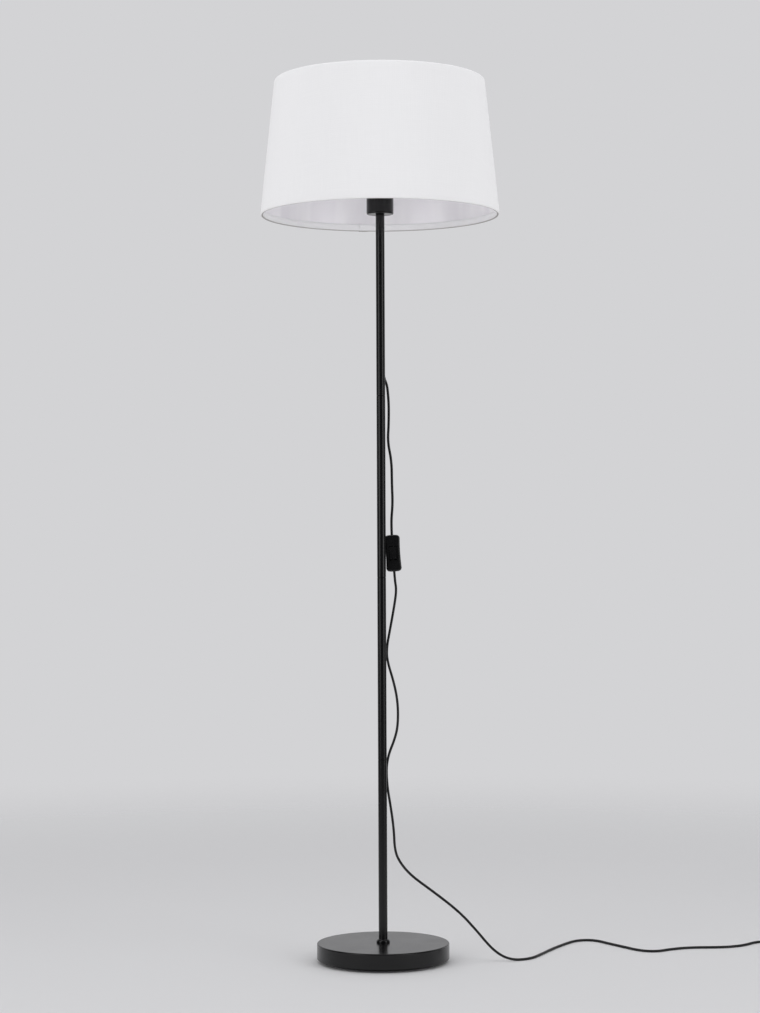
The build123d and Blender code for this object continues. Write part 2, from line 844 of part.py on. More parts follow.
with BuildPart() as switch_case_screws:
    with BuildSketch(switch_plane.offset(-half_case + side_gap)):
        with Locations(*screw_places):
            Circle(case_screw_head / 2)
    extrude(amount=head_recess - side_gap)
    with BuildSketch(switch_plane.offset(-half_case + head_recess)):
        with Locations(*screw_places):
            Circle(case_screw_diameter / 2)
    extrude(amount=case_screw_length - head_recess)
keep("switch_case_screws", switch_case_screws)

# The rocker rests tipped, its lower end out, and turns about its pivot.
tip = radians(rocker_tilt)
rocker_plane = Plane(
    origin=switch_plane.from_local_coords((0, 0, pivot_level)),
    x_dir=switch_plane.y_dir * cos(tip) - switch_plane.z_dir * sin(tip),
    z_dir=switch_plane.x_dir,
)
valley = rocker_level - pivot_level
crest_rise = valley + rocker_end_radius * tan(tip) * rocker_end_rise
crest_run = (rocker_end_radius**2 - crest_rise**2) ** 0.5
skirt_run = (rocker_end_radius**2 - rocker_depth**2) ** 0.5

with BuildPart() as switch_rocker:
    with BuildSketch(rocker_plane):
        with BuildLine():
            Polyline((crest_run, crest_rise), (0, valley), (-crest_run, crest_rise))
            ThreePointArc(
                (-crest_run, crest_rise), (-rocker_end_radius, 0), (-skirt_run, -rocker_depth)
            )
            Polyline(
                (-skirt_run, -rocker_depth),
                (-pivot_diameter, -rocker_depth),
                (0, contact_thickness - rocker_depth),
                (pivot_diameter, -rocker_depth),
                (skirt_run, -rocker_depth),
            )
            ThreePointArc(
                (skirt_run, -rocker_depth), (rocker_end_radius, 0), (crest_run, crest_rise)
            )
        make_face()
    extrude(amount=rocker_width / 2, both=True)
    with BuildSketch(rocker_plane):
        Circle(pivot_diameter / 2)
    extrude(amount=pivot_reach, both=True)
keep("switch_rocker", switch_rocker)

with BuildPart() as switch_bridge:
    with BuildSketch(rocker_plane):
        with Locations((0, -rocker_depth - bridge_thickness / 2)):
            Rectangle(bridge_length, bridge_thickness)
    extrude(amount=bridge_width / 2, both=True)
keep("switch_bridge", switch_bridge)

# Fixed contacts: one under the pivot and one under the lower end, each from its terminal.
bridge_drop = pivot_level - rocker_depth - bridge_thickness
pressed_drop = bridge_drop - (bridge_length / 2) * sin(tip) - bridge_thickness
floor_level = -inside
with BuildPart() as switch_contacts:
    for end, post_y, post_top in (
        (1, bridge_width, bridge_drop - bridge_width * sin(tip) - side_gap),
        (-1, -bridge_length / 2 + bridge_width / 2, pressed_drop),
    ):
        strip_length = abs(end * switch_terminal_y - post_y)
        with BuildSketch(switch_plane.offset(floor_level)):
            with Locations((0, end * switch_terminal_y)):
                Rectangle(switch_block, switch_block)
        extrude(amount=switch_block)
        with BuildSketch(switch_plane.offset(floor_level)):
            with Locations((0, (end * switch_terminal_y + post_y) / 2)):
                Rectangle(bridge_width, strip_length)
        extrude(amount=2 * bridge_thickness)
        with BuildSketch(switch_plane.offset(floor_level)):
            with Locations((0, post_y)):
                Rectangle(bridge_width, 2 * bridge_thickness)
        extrude(amount=post_top - floor_level)
    with BuildSketch(switch_plane.offset(floor_level + bridge_thickness)):
        with GridLocations(0, 2 * switch_terminal_y, 1, 2):
            Circle(terminal_screw_diameter / 2 + thread_fit)
    extrude(amount=switch_block, mode=Mode.SUBTRACT)
keep("switch_contacts", switch_contacts)

with BuildPart() as switch_terminal_screws:
    with BuildSketch(switch_plane.offset(floor_level + 2 * bridge_thickness)):
        with GridLocations(0, 2 * switch_terminal_y, 1, 2):
            Circle(terminal_screw_diameter / 2)
    extrude(amount=switch_block - 2 * bridge_thickness)
    with BuildSketch(switch_plane.offset(floor_level + switch_block)):
        with GridLocations(0, 2 * switch_terminal_y, 1, 2):
            Circle(terminal_screw_head / 2)
    extrude(amount=2 * contact_thickness)
keep("switch_terminal_screws", switch_terminal_screws)

with BuildPart() as switch_cord_clamps:
    with BuildSketch(switch_plane.offset(-clamp_bar_thickness)):
        with GridLocations(0, 2 * clamp_y, 1, 2):
            Rectangle(clamp_bar_length, clamp_bar_width)
    extrude(amount=clamp_bar_thickness - side_gap)
    with BuildSketch(entry_plane):
        Circle(entry_radius)
    extrude(amount=2 * switch_length, mode=Mode.SUBTRACT)
keep("switch_cord_clamps", switch_cord_clamps)


# Lead. A route is a list of points: straight runs joined by tangent arcs, each arc as large
# as its two runs allow.

cord_level = cord_radius + floor_gap


def route_radii(points):
    """The radius of the arc at each inner point of a route."""
    radii = []
    for before, corner, after in zip(points, points[1:], points[2:]):
        arriving = corner - before
        leaving = after - corner
        half_turn = radians(arriving.get_angle(leaving)) / 2
        radii.append(arc_share * min(arriving.length, leaving.length) / tan(half_turn))
    return radii


def swept_tube(path):
    """A round tube along a finished path."""
    with BuildPart() as tube:
        with BuildSketch(Plane(origin=path @ 0, z_dir=path % 0)):
            Circle(cord_radius)
        sweep(path=path)
    return tube


def report_tube(name, tube, path, radii):
    """Prints a tube's radii and compares its volume with its section times its length."""
    expected = pi * cord_radius**2 * path.length
    print(
        f"{name}: length {path.length:.1f}, least radius {min(radii):.1f}, "
        f"volume share {tube.part.volume / expected:.5f}, "
        f"radii {[round(r, 1) for r in radii]}"
    )


def cord_along(name, route):
    """A free or held stretch of the lead along its route, labelled and written."""
    points = [Vector(*point) for point in route]
    radii = route_radii(points)
    with BuildLine() as line:
        FilletPolyline(*points, radius=radii)
    path = line.wires()[0]
    tube = swept_tube(path)
    report_tube(name, tube, path, radii)
    keep(name, tube)


exit_point = exit_plane.from_local_coords((0, 0, exit_length))
exit_run = 2.3 * cord_diameter
lead_top = cup_floor + nipple_in_holder + holder_wall
cord_along(
    "inner_lead",
    [(0, 0, lead_top), (0, 0, exit_height), tuple(exit_point)],
)


def on_switch_axis(distance):
    """A point on the switch's long axis, this far above its middle."""
    return tuple(switch_plane.from_local_coords((0, distance, 0)))


cord_end = switch_length / 2 - cord_in_switch
upper_route = [
    tuple(exit_point),
    tuple(exit_point + out_way * exit_run),
    (12.1, 14.5, 969.0),
    (13.6, 15.6, 948.0),
    (13.3, 15.4, 914.0),
    (11.4, 14.6, 884.0),
    (18.0, 14.9, 851.0),
    (18.3, 15.6, 812.0),
    (19.6, 16.2, 778.0),
    on_switch_axis(switch_length / 2 + switch_run_above),
    on_switch_axis(cord_end),
]
cord_along("cord_upper", upper_route)

middle = coil_turns / 2
inner_turn = (coil_mean_diameter - coil_pitch * middle) / 2


def coil_point(turn):
    """The middle of the lead after this many turns of the coil."""
    away = turn - middle
    radius = inner_turn + coil_pitch * (hypot(away, coil_reversal) - coil_reversal)
    angle = radians(coil_start_angle - 360 * turn)
    climb = min(max(away / coil_climb + 1 / 2, 0), 1)
    height = cord_level + layer_pitch * climb * climb * (3 - 2 * climb)
    return Vector(
        coil_centre[0] + radius * cos(angle),
        coil_centre[1] + radius * sin(angle),
        height,
    )


def coil_way(turn):
    """The direction of the lead at this turn."""
    return (coil_point(turn + coil_step) - coil_point(turn - coil_step)).normalized()


coil_start = coil_point(0)
coil_end = coil_point(coil_turns)
lower_route = [
    on_switch_axis(-cord_end),
    on_switch_axis(-switch_length / 2 - switch_run_below),
    (25.4, 15.2, 630.0),
    (20.9, 13.4, 600.0),
    (13.4, 10.6, 560.0),
    (8.7, 7.8, 536.0),
    (8.3, 6.4, 512.0),
    (20.0, 4.8, 474.0),
    (26.4, 4.4, 442.0),
    (27.2, 4.4, 408.0),
    (23.4, 4.8, 382.0),
    (7.1, 7.6, 342.0),
    (7.3, 7.5, 300.0),
    (15.1, 5.0, 254.0),
    (19.2, 3.8, 220.0),
    (20.1, 3.2, 192.0),
    (25.9, 2.6, 172.0),
    (46.2, 2.2, 146.0),
    (88.3, 1.8, 115.6),
    (129.8, 1.4, 83.0),
    (157.0, 1.0, 53.5),
    (188.0, -1.0, 16.5),
    (216.0, -7.0, cord_level),
    (250.0, 4.0, cord_level),
    (272.0, 48.0, cord_level),
    (294.0, 98.0, cord_level),
    (322.0, 150.0, cord_level),
    (345.0, 184.0, cord_level),
    (377.0, 186.0, cord_level),
    (398.0, 150.0, cord_level),
    (420.0, 118.0, cord_level),
    (444.0, 80.0, cord_level),
    (472.0, 68.0, cord_level),
    (504.0, 94.0, cord_level),
    (540.0, 108.0, cord_level),
    (594.0, 107.0, cord_level),
    (632.0, 124.0, cord_level),
    (656.0, 156.0, cord_level),
    tuple(coil_start - coil_way(0) * (coil_lead + coil_run)),
    tuple(coil_start - coil_way(0) * coil_lead),
]
cord_along("cord_lower", lower_route)


def biarc(start, start_way, end, end_way):
    """Two arcs that join in the middle, leaving start and reaching end along their ways."""
    chord = end - start
    ways = start_way + end_way
    square = 2 * (1 - start_way.dot(end_way))
    slope = chord.dot(ways)
    reach = (-slope + (slope * slope + square * chord.dot(chord)) ** 0.5) / square
    join = (start + start_way * reach + end - end_way * reach) / 2
    TangentArc(start, join, tangent=start_way)
    TangentArc(end, join, tangent=-end_way)


def coil_gap(samples_per_turn=72):
    """The least gap between the coil's turns, measured on points."""
    count = round(coil_turns * samples_per_turn)
    points = [coil_point(coil_turns * i / count) for i in range(count + 1)]
    least = min(
        (points[i] - points[j]).length
        for i in range(count + 1)
        for j in range(i + samples_per_turn // 3, count + 1)
    )
    return least - cord_diameter


quarter_turns = round(coil_turns * 4)
with BuildLine() as coil_line:
    Line(coil_start - coil_way(0) * coil_lead, coil_start)
    for quarter in range(quarter_turns):
        here = coil_turns * quarter / quarter_turns
        there = coil_turns * (quarter + 1) / quarter_turns
        biarc(coil_point(here), coil_way(here), coil_point(there), coil_way(there))
    Line(coil_end, coil_end + coil_way(coil_turns) * plug_lead)
coil_path = coil_line.wires()[0]
cord_coil = swept_tube(coil_path)
report_tube("cord_coil", cord_coil, coil_path, [inner_turn])
print(f"cord_coil: least gap between turns {coil_gap():.2f}")
keep("cord_coil", cord_coil)


# Plug. Its plane has x across the plug, y along the lead's way into it and z up. The lead
# meets the end of the strain relief.

plug_way = coil_way(coil_turns)
plug_mouth = coil_end + plug_way * plug_lead
plug_plane = Plane(
    origin=plug_mouth,
    x_dir=(plug_way.Y, -plug_way.X, 0),
    z_dir=(0, 0, 1),
)
plug_half = plug_mouth.Z - plug_floor_gap
body_back = relief_length
body_face = relief_length + plug_length


def plug_cross(distance):
    """The plane across the plug, this far from the lead's end."""
    return Plane(
        origin=plug_plane.from_local_coords((0, distance, 0)),
        x_dir=plug_plane.x_dir,
        z_dir=plug_plane.y_dir,
    )


with BuildPart() as plug_body:
    with BuildSketch(plug_plane.offset(-plug_half)):
        with BuildLine():
            Polyline(
                (plug_end_width / 2, body_back),
                (plug_width / 2, body_back + plug_length / 2),
                (plug_width / 2, body_face),
                (-plug_width / 2, body_face),
                (-plug_width / 2, body_back + plug_length / 2),
                (-plug_end_width / 2, body_back),
                close=True,
            )
        outline = make_face()
        fillet(outline.vertices().filter_by(lambda v: v.Y < body_face - plug_edge), plug_corner)
    extrude(amount=2 * plug_half)
    fillet(plug_body.faces().filter_by(Axis.Z).edges(), plug_edge)
    for side_level in (plug_half - grip_depth, -plug_half):
        with BuildSketch(plug_plane.offset(side_level)):
            with Locations((0, body_back + grip_offset)):
                with GridLocations(0, grip_pitch, 1, grip_count):
                    SlotOverall(grip_length, grip_width)
        extrude(amount=grip_depth, mode=Mode.SUBTRACT)
    with BuildSketch(plug_cross(body_face - pin_inset)):
        with GridLocations(pin_spacing, 0, 2, 1):
            Circle(pin_diameter / 2 + thread_fit)
    extrude(amount=pin_inset, mode=Mode.SUBTRACT)
keep("plug_body", plug_body)

with BuildPart() as plug_strain_relief:
    with BuildSketch(plug_cross(0)):
        Circle(relief_end_diameter / 2)
    with BuildSketch(plug_cross(relief_length)):
        Circle(relief_start_diameter / 2)
    loft()
    with BuildSketch(plug_plane.offset(-plug_half)):
        with GridLocations(0, relief_length / (relief_slots + 1), 1, relief_slots):
            with Locations((relief_start_diameter / 2 + cord_radius / 2, relief_length / 2)):
                Rectangle(relief_start_diameter, relief_slot_width)
            with Locations((-relief_start_diameter / 2 - cord_radius / 2, relief_length / 2)):
                Rectangle(relief_start_diameter, relief_slot_width)
    extrude(amount=2 * plug_half, mode=Mode.SUBTRACT)
keep("plug_strain_relief", plug_strain_relief)

with BuildPart() as plug_pins:
    with BuildSketch(plug_cross(body_face - pin_inset + side_gap)):
        with GridLocations(pin_spacing, 0, 2, 1):
            Circle(pin_diameter / 2)
    extrude(amount=pin_inset - side_gap)
    with BuildSketch(plug_cross(body_face)):
        with GridLocations(pin_spacing, 0, 2, 1):
            Circle(pin_diameter / 2 - sleeve_wall)
    extrude(amount=sleeve_length)
    with BuildSketch(plug_cross(body_face + sleeve_length)):
        with GridLocations(pin_spacing, 0, 2, 1):
            Circle(pin_diameter / 2)
    extrude(amount=pin_length - sleeve_length)
    pin_ends = plug_cross(body_face + pin_length).origin
    tips = plug_pins.faces().filter_by(GeomType.PLANE).sort_by_distance(pin_ends)[:2]
    fillet(tips.edges(), pin_diameter / 4)
keep("plug_pins", plug_pins)

with BuildPart() as plug_pin_sleeves:
    with BuildSketch(plug_cross(body_face)):
        with GridLocations(pin_spacing, 0, 2, 1):
            Circle(pin_diameter / 2)
            Circle(pin_diameter / 2 - sleeve_wall + thread_fit, mode=Mode.SUBTRACT)
    extrude(amount=sleeve_length)
keep("plug_pin_sleeves", plug_pin_sleeves)

pivot = switch_plane.from_local_coords((0, 0, pivot_level))
print("rocker pivot", tuple(pivot), "axis", tuple(switch_plane.x_dir))
print("lead leaves the grommet at", tuple(exit_point), "coil starts at", tuple(coil_start))
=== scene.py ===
from math import atan2, cos, hypot, pi, radians, sin

import bpy
from mathutils import Matrix, Vector


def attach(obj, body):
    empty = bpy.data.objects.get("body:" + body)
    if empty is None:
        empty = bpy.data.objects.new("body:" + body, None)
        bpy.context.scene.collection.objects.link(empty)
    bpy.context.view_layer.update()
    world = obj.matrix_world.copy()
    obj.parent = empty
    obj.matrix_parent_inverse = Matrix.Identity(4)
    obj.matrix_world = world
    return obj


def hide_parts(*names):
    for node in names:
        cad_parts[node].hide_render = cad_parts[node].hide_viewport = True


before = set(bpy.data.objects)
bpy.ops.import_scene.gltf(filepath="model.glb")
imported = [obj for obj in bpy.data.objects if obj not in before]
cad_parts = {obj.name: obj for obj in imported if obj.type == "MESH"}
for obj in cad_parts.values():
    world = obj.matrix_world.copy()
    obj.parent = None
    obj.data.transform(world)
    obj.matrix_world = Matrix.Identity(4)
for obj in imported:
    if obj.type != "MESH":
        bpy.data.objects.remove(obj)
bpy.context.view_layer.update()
scene = bpy.context.scene
scene.view_settings.view_transform = "Standard"

MM = 0.001
STAND = "stand"


# Camera, at the photograph's place: low, level with the switch, and a long way off

camera_data = bpy.data.cameras.new("camera")
camera_data.lens = 81.74
camera_data.sensor_width = 36.0
camera_data.clip_end = 60.0
camera = bpy.data.objects.new("camera", camera_data)
scene.collection.objects.link(camera)
camera_pitch = Matrix.Rotation(radians(90.834), 3, "X")
camera_roll = Matrix.Rotation(radians(-0.25), 3, "Z")
camera.rotation_euler = (camera_pitch @ camera_roll).to_euler()
camera.location = (-0.0022, -3.9215, 0.7162)
scene.camera = camera


# Tools

def linear(hex_colour):
    """An sRGB hex colour as linear RGBA."""
    channels = [int(hex_colour[start : start + 2], 16) / 255 for start in (1, 3, 5)]
    straight = [c / 12.92 if c <= 0.04045 else ((c + 0.055) / 1.055) ** 2.4 for c in channels]
    return (*straight, 1.0)


def add_node(tree, kind, inputs=None, **settings):
    """Adds a node, sets its settings, and sets or links its inputs."""
    made = tree.nodes.new(kind)
    for name, value in settings.items():
        setattr(made, name, value)
    for name, value in (inputs or {}).items():
        if isinstance(value, bpy.types.NodeSocket):
            tree.links.new(value, made.inputs[name])
        else:
            made.inputs[name].default_value = value
    return made


def new_material(name):
    """An empty node material and its tree."""
    material = bpy.data.materials.new(name)
    material.use_nodes = True
    material.node_tree.nodes.clear()
    return material, material.node_tree


def per_metre(size_mm):
    """The texture scale at which a pattern repeats about every size_mm."""
    return 1 / (size_mm * MM)


def new_object(name, data):
    """Links an object made from finished data, at the origin."""
    made = bpy.data.objects.new(name, data)
    scene.collection.objects.link(made)
    return made


def new_mesh(name, points, faces, material):
    """A smoothly shaded mesh object from points in metres and its faces."""
    mesh = bpy.data.meshes.new(name)
    mesh.from_pydata(points, [], faces)
    mesh.materials.append(material)
    for polygon in mesh.polygons:
        polygon.use_smooth = True
    mesh.update()
    return new_object(name, mesh)


# Finishes

def powder_coat_black():
    """Polyester powder coat, sprayed on steel and baked: satin, with a faint orange peel
    that breaks up long reflections."""
    material, tree = new_material("powder_coat_black")
    place = add_node(tree, "ShaderNodeTexCoord").outputs["Object"]
    peel = add_node(
        tree, "ShaderNodeTexNoise", {"Vector": place, "Scale": per_metre(1.6), "Detail": 2.0}
    )
    patches = add_node(
        tree, "ShaderNodeTexNoise", {"Vector": place, "Scale": per_metre(45), "Detail": 3.0}
    )
    gloss = add_node(
        tree,
        "ShaderNodeMapRange",
        {"Value": patches.outputs["Fac"], "To Min": 0.18, "To Max": 0.27},
    )
    tint = add_node(
        tree,
        "ShaderNodeMix",
        {
            "Factor": patches.outputs["Fac"],
            6: linear("#070708"),
            7: linear("#0c0c0d"),
        },
        data_type="RGBA",
    )
    bump = add_node(
        tree,
        "ShaderNodeBump",
        {"Height": peel.outputs["Fac"], "Strength": 0.06, "Distance": 0.02 * MM},
    )
    shader = add_node(
        tree,
        "ShaderNodeBsdfPrincipled",
        {
            "Base Color": tint.outputs[2],
            "Roughness": gloss.outputs["Result"],
            "IOR": 1.42,
            "Normal": bump.outputs["Normal"],
        },
    )
    add_node(tree, "ShaderNodeOutputMaterial", {"Surface": shader.outputs["BSDF"]})
    return material


def mottled(name, noise, dark, light, relief, surface):
    """A finish whose one noise both tints and lifts it. The three dicts give the inputs of its
    noise, bump and surface nodes."""
    material, tree = new_material(name)
    place = add_node(tree, "ShaderNodeTexCoord").outputs["Object"]
    spots = add_node(tree, "ShaderNodeTexNoise", {"Vector": place, **noise}).outputs["Fac"]
    tint = add_node(
        tree,
        "ShaderNodeMix",
        {"Factor": spots, 6: linear(dark), 7: linear(light)},
        data_type="RGBA",
    )
    bump = add_node(tree, "ShaderNodeBump", {"Height": spots, **relief})
    shader = add_node(
        tree,
        "ShaderNodeBsdfPrincipled",
        {"Base Color": tint.outputs[2], "Normal": bump.outputs["Normal"], **surface},
    )
    add_node(tree, "ShaderNodeOutputMaterial", {"Surface": shader.outputs["BSDF"]})
    return material


def powder_coat_white():
    """The same kind of coat in white, laid on a little thicker, on the shade's wires: it hides
    the steel and takes on the cloth's tone."""
    return mottled(
        "powder_coat_white",
        {"Scale": per_metre(1.4), "Detail": 2.0},
        "#e2e1dd",
        "#ecebe8",
        {"Strength": 0.1, "Distance": 0.03 * MM},
        {"Roughness": 0.4},
    )


def sand_cast_iron():
    """Grey iron from a sand mould under one thin coat: dull, pitted and darker in its pits."""
    return mottled(
        "sand_cast_iron",
        {"Scale": per_metre(0.9), "Detail": 5.0},
        "#2b2a29",
        "#57554f",
        {"Strength": 0.6, "Distance": 0.4 * MM},
        {"Metallic": 0.6, "Roughness": 0.72},
    )


def grained_plastic(name, dark, light, grain_mm, roughness, grain_depth_mm):
    """A moulded plastic from a spark eroded tool: its fine grain spreads the highlights."""
    material, tree = new_material(name)
    place = add_node(tree, "ShaderNodeTexCoord").outputs["Object"]
    grain = add_node(
        tree,
        "ShaderNodeTexVoronoi",
        {"Vector": place, "Scale": per_metre(grain_mm)},
        feature="SMOOTH_F1",
    )
    flow = add_node(
        tree, "ShaderNodeTexNoise", {"Vector": place, "Scale": per_metre(14), "Detail": 2.0}
    )
    tint = add_node(
        tree,
        "ShaderNodeMix",
        {"Factor": flow.outputs["Fac"], 6: linear(dark), 7: linear(light)},
        data_type="RGBA",
    )
    gloss = add_node(
        tree,
        "ShaderNodeMapRange",
        {
            "Value": flow.outputs["Fac"],
            "To Min": roughness - 0.05,
            "To Max": roughness + 0.05,
        },
    )
    bump = add_node(
        tree,
        "ShaderNodeBump",
        {
            "Height": grain.outputs["Distance"],
            "Strength": 0.3,
            "Distance": grain_depth_mm * MM,
        },
    )
    shader = add_node(
        tree,
        "ShaderNodeBsdfPrincipled",
        {
            "Base Color": tint.outputs[2],
            "Roughness": gloss.outputs["Result"],
            "IOR": 1.46,
            "Normal": bump.outputs["Normal"],
        },
    )
    add_node(tree, "ShaderNodeOutputMaterial", {"Surface": shader.outputs["BSDF"]})
    return material


def plated_metal(name, dark, light, roughness, spread):
    """A plated metal: bright, with the faint cloudiness that handling leaves."""
    material, tree = new_material(name)
    place = add_node(tree, "ShaderNodeTexCoord").outputs["Object"]
    cloud = add_node(
        tree, "ShaderNodeTexNoise", {"Vector": place, "Scale": per_metre(6), "Detail": 4.0}
    )
    marks = add_node(
        tree, "ShaderNodeTexNoise", {"Vector": place, "Scale": per_metre(0.35), "Detail": 2.0}
    )
    tint = add_node(
        tree,
        "ShaderNodeMix",
        {"Factor": cloud.outputs["Fac"], 6: linear(dark), 7: linear(light)},
        data_type="RGBA",
    )
    gloss = add_node(
        tree,
        "ShaderNodeMapRange",
        {
            "Value": cloud.outputs["Fac"],
            "To Min": roughness - spread,
            "To Max": roughness + spread,
        },
    )
    bump = add_node(
        tree,
        "ShaderNodeBump",
        {"Height": marks.outputs["Fac"], "Strength": 0.15, "Distance": 0.02 * MM},
    )
    shader = add_node(
        tree,
        "ShaderNodeBsdfPrincipled",
        {
            "Base Color": tint.outputs[2],
            "Metallic": 1.0,
            "Roughness": gloss.outputs["Result"],
            "Normal": bump.outputs["Normal"],
        },
    )
    add_node(tree, "ShaderNodeOutputMaterial", {"Surface": shader.outputs["BSDF"]})
    return material


def steatite():
    """Fired steatite without a glaze: creamy, dry and faintly speckled."""
    return mottled(
        "steatite",
        {"Scale": per_metre(0.8), "Detail": 3.0},
        "#d8d0be",
        "#e9e3d5",
        {"Strength": 0.25, "Distance": 0.05 * MM},
        {"Roughness": 0.55},
    )


def needle_felt():
    """Polyester needle felt: dull grey, mottled by its mixed fibres, with a soft sheen."""
    return mottled(
        "needle_felt",
        {"Scale": per_metre(0.7), "Detail": 6.0, "Distortion": 1.5},
        "#3a3a3d",
        "#636367",
        {"Strength": 0.7, "Distance": 0.3 * MM},
        {"Roughness": 0.95, "Sheen Weight": 0.3},
    )


def pearl_film():
    """Pearly PVC lining film behind the cloth: a silky, faintly lilac white. Soft upright bands
    painted lighter into its colour are painted highlights; its ripples give real ones."""
    material, tree = new_material("pearl_film")
    place = add_node(tree, "ShaderNodeTexCoord").outputs["Object"]
    stretched = add_node(
        tree, "ShaderNodeMapping", {"Vector": place, "Scale": (1.0, 1.0, 0.06)}
    )
    # Painted highlights: soft upright bands where the film's colour is lighter
    highlight_bands = add_node(
        tree,
        "ShaderNodeTexNoise",
        {"Vector": stretched.outputs["Vector"], "Scale": per_metre(48), "Detail": 2.0},
    )
    ramp = add_node(
        tree,
        "ShaderNodeMapRange",
        {"Value": highlight_bands.outputs["Fac"], "From Min": 0.36, "From Max": 0.62},
        interpolation_type="SMOOTHSTEP",
    )
    tint = add_node(
        tree,
        "ShaderNodeMix",
        {"Factor": ramp.outputs["Result"], 6: linear("#f3f1f5"), 7: linear("#fefdff")},
        data_type="RGBA",
    )
    ripples = add_node(
        tree,
        "ShaderNodeTexNoise",
        {"Vector": stretched.outputs["Vector"], "Scale": per_metre(30), "Detail": 1.0},
    )
    bump = add_node(
        tree,
        "ShaderNodeBump",
        {"Height": ripples.outputs["Fac"], "Strength": 0.8, "Distance": 1.2 * MM},
    )
    shader = add_node(
        tree,
        "ShaderNodeBsdfPrincipled",
        {
            "Base Color": tint.outputs[2],
            "Metallic": 0.16,
            "Roughness": 0.33,
            "Normal": bump.outputs["Normal"],
        },
    )
    add_node(tree, "ShaderNodeOutputMaterial", {"Surface": shader.outputs["BSDF"]})
    return material


def linen_cloth():
    """Bleached linen and cotton cloth, plain weave: matt white, with the thicker slub threads
    that make faint lines both ways. Threads are 0.5 mm apart. The underside of the roll over
    the lower wire is tinted grey as painted shade, which draws a fine line round the rim."""
    material, tree = new_material("linen_cloth")
    flat = add_node(tree, "ShaderNodeUVMap", uv_map="cut").outputs["UV"]
    threads = []
    for axis in ("X", "Y"):
        threads.append(
            add_node(
                tree,
                "ShaderNodeTexWave",
                {
                    "Vector": flat,
                    "Scale": per_metre(0.5) / 20,
                    "Distortion": 0.6,
                    "Detail": 1.0,
                    "Detail Scale": 2.0,
                },
                wave_type="BANDS",
                bands_direction=axis,
            ).outputs["Fac"]
        )
    weave = add_node(tree, "ShaderNodeMath", {0: threads[0], 1: threads[1]}, operation="ADD")
    slubs = []
    for scale in ((per_metre(60), per_metre(1.6), 1.0), (per_metre(1.6), per_metre(60), 1.0)):
        laid = add_node(tree, "ShaderNodeMapping", {"Vector": flat, "Scale": scale})
        slubs.append(
            add_node(
                tree,
                "ShaderNodeTexNoise",
                {"Vector": laid.outputs["Vector"], "Scale": 1.0, "Detail": 2.0},
            ).outputs["Fac"]
        )
    crossed = add_node(tree, "ShaderNodeMath", {0: slubs[0], 1: slubs[1]}, operation="ADD")
    thick = add_node(
        tree,
        "ShaderNodeMapRange",
        {"Value": crossed.outputs[0], "From Min": 0.8, "From Max": 1.25},
    )
    tint = add_node(
        tree,
        "ShaderNodeMix",
        {"Factor": thick.outputs["Result"], 6: linear("#f0f0f1"), 7: linear("#f2f2f3")},
        data_type="RGBA",
    )
    # Painted shade: where this mask is 1, on the underside of the lower roll, the cloth is mixed
    # towards grey
    rolled = add_node(tree, "ShaderNodeAttribute", attribute_name="rolled").outputs["Fac"]
    roll_shade_painted = add_node(
        tree,
        "ShaderNodeMix",
        {"Factor": rolled, 6: tint.outputs[2], 7: linear("#9f9d9b")},
        data_type="RGBA",
    )
    relief = add_node(
        tree,
        "ShaderNodeMath",
        {0: thick.outputs["Result"], 1: 0.15, 2: weave.outputs[0]},
        operation="MULTIPLY_ADD",
    )
    bump = add_node(
        tree,
        "ShaderNodeBump",
        {"Height": relief.outputs[0], "Strength": 0.22, "Distance": 0.1 * MM},
    )
    shader = add_node(
        tree,
        "ShaderNodeBsdfPrincipled",
        {
            "Base Color": roll_shade_painted.outputs[2],
            "Roughness": 0.9,
            "Sheen Weight": 0.15,
            "Normal": bump.outputs["Normal"],
        },
    )
    add_node(tree, "ShaderNodeOutputMaterial", {"Surface": shader.outputs["BSDF"]})
    return material


def pvc_sheath():
    """Extruded PVC sheath of a light flex: black, smooth along its length and half matt."""
    material, tree = new_material("pvc_sheath")
    place = add_node(tree, "ShaderNodeTexCoord").outputs["Object"]
    bloom = add_node(
        tree, "ShaderNodeTexNoise", {"Vector": place, "Scale": per_metre(9), "Detail": 3.0}
    )
    tint = add_node(
        tree,
        "ShaderNodeMix",
        {"Factor": bloom.outputs["Fac"], 6: linear("#09090a"), 7: linear("#111112")},
        data_type="RGBA",
    )
    gloss = add_node(
        tree,
        "ShaderNodeMapRange",
        {"Value": bloom.outputs["Fac"], "To Min": 0.42, "To Max": 0.56},
    )
    shader = add_node(
        tree,
        "ShaderNodeBsdfPrincipled",
        {
            "Base Color": tint.outputs[2],
            "Roughness": gloss.outputs["Result"],
            "IOR": 1.46,
        },
    )
    add_node(tree, "ShaderNodeOutputMaterial", {"Surface": shader.outputs["BSDF"]})
    return material


finishes = {
    "satin_black_paint": powder_coat_black(),
    "cast_iron": sand_cast_iron(),
    "black_foot_plastic": grained_plastic("polypropylene_foot", "#141414", "#1b1b1b", 0.5, 0.6, 0.06),
    "grey_felt": needle_felt(),
    "zinc_steel": plated_metal("zinc_plated_steel", "#a9abad", "#c9cbcb", 0.32, 0.06),
    "black_holder_plastic": grained_plastic("pbt_holder", "#0c0c0d", "#121213", 0.4, 0.4, 0.04),
    "porcelain": steatite(),
    "nickelled_brass": plated_metal("nickel_plated_brass", "#b5ab93", "#d3c9b0", 0.24, 0.05),
    "white_wire": powder_coat_white(),
    "white_linen": linen_cloth(),
    "pearl_lining": pearl_film(),
    "black_pvc_cord": pvc_sheath(),
    "black_switch_plastic": grained_plastic("abs_switch", "#09090a", "#0f0f10", 0.35, 0.27, 0.02),
    "black_plug_plastic": grained_plastic("pvc_plug", "#121213", "#19191a", 0.45, 0.5, 0.05),
    "nickelled_pins": plated_metal("nickel_plated_pins", "#b9b6ab", "#d6d3c8", 0.2, 0.04),
    "pin_sleeve_plastic": grained_plastic("nylon_sleeve", "#131313", "#1a1a1a", 0.4, 0.35, 0.02),
}


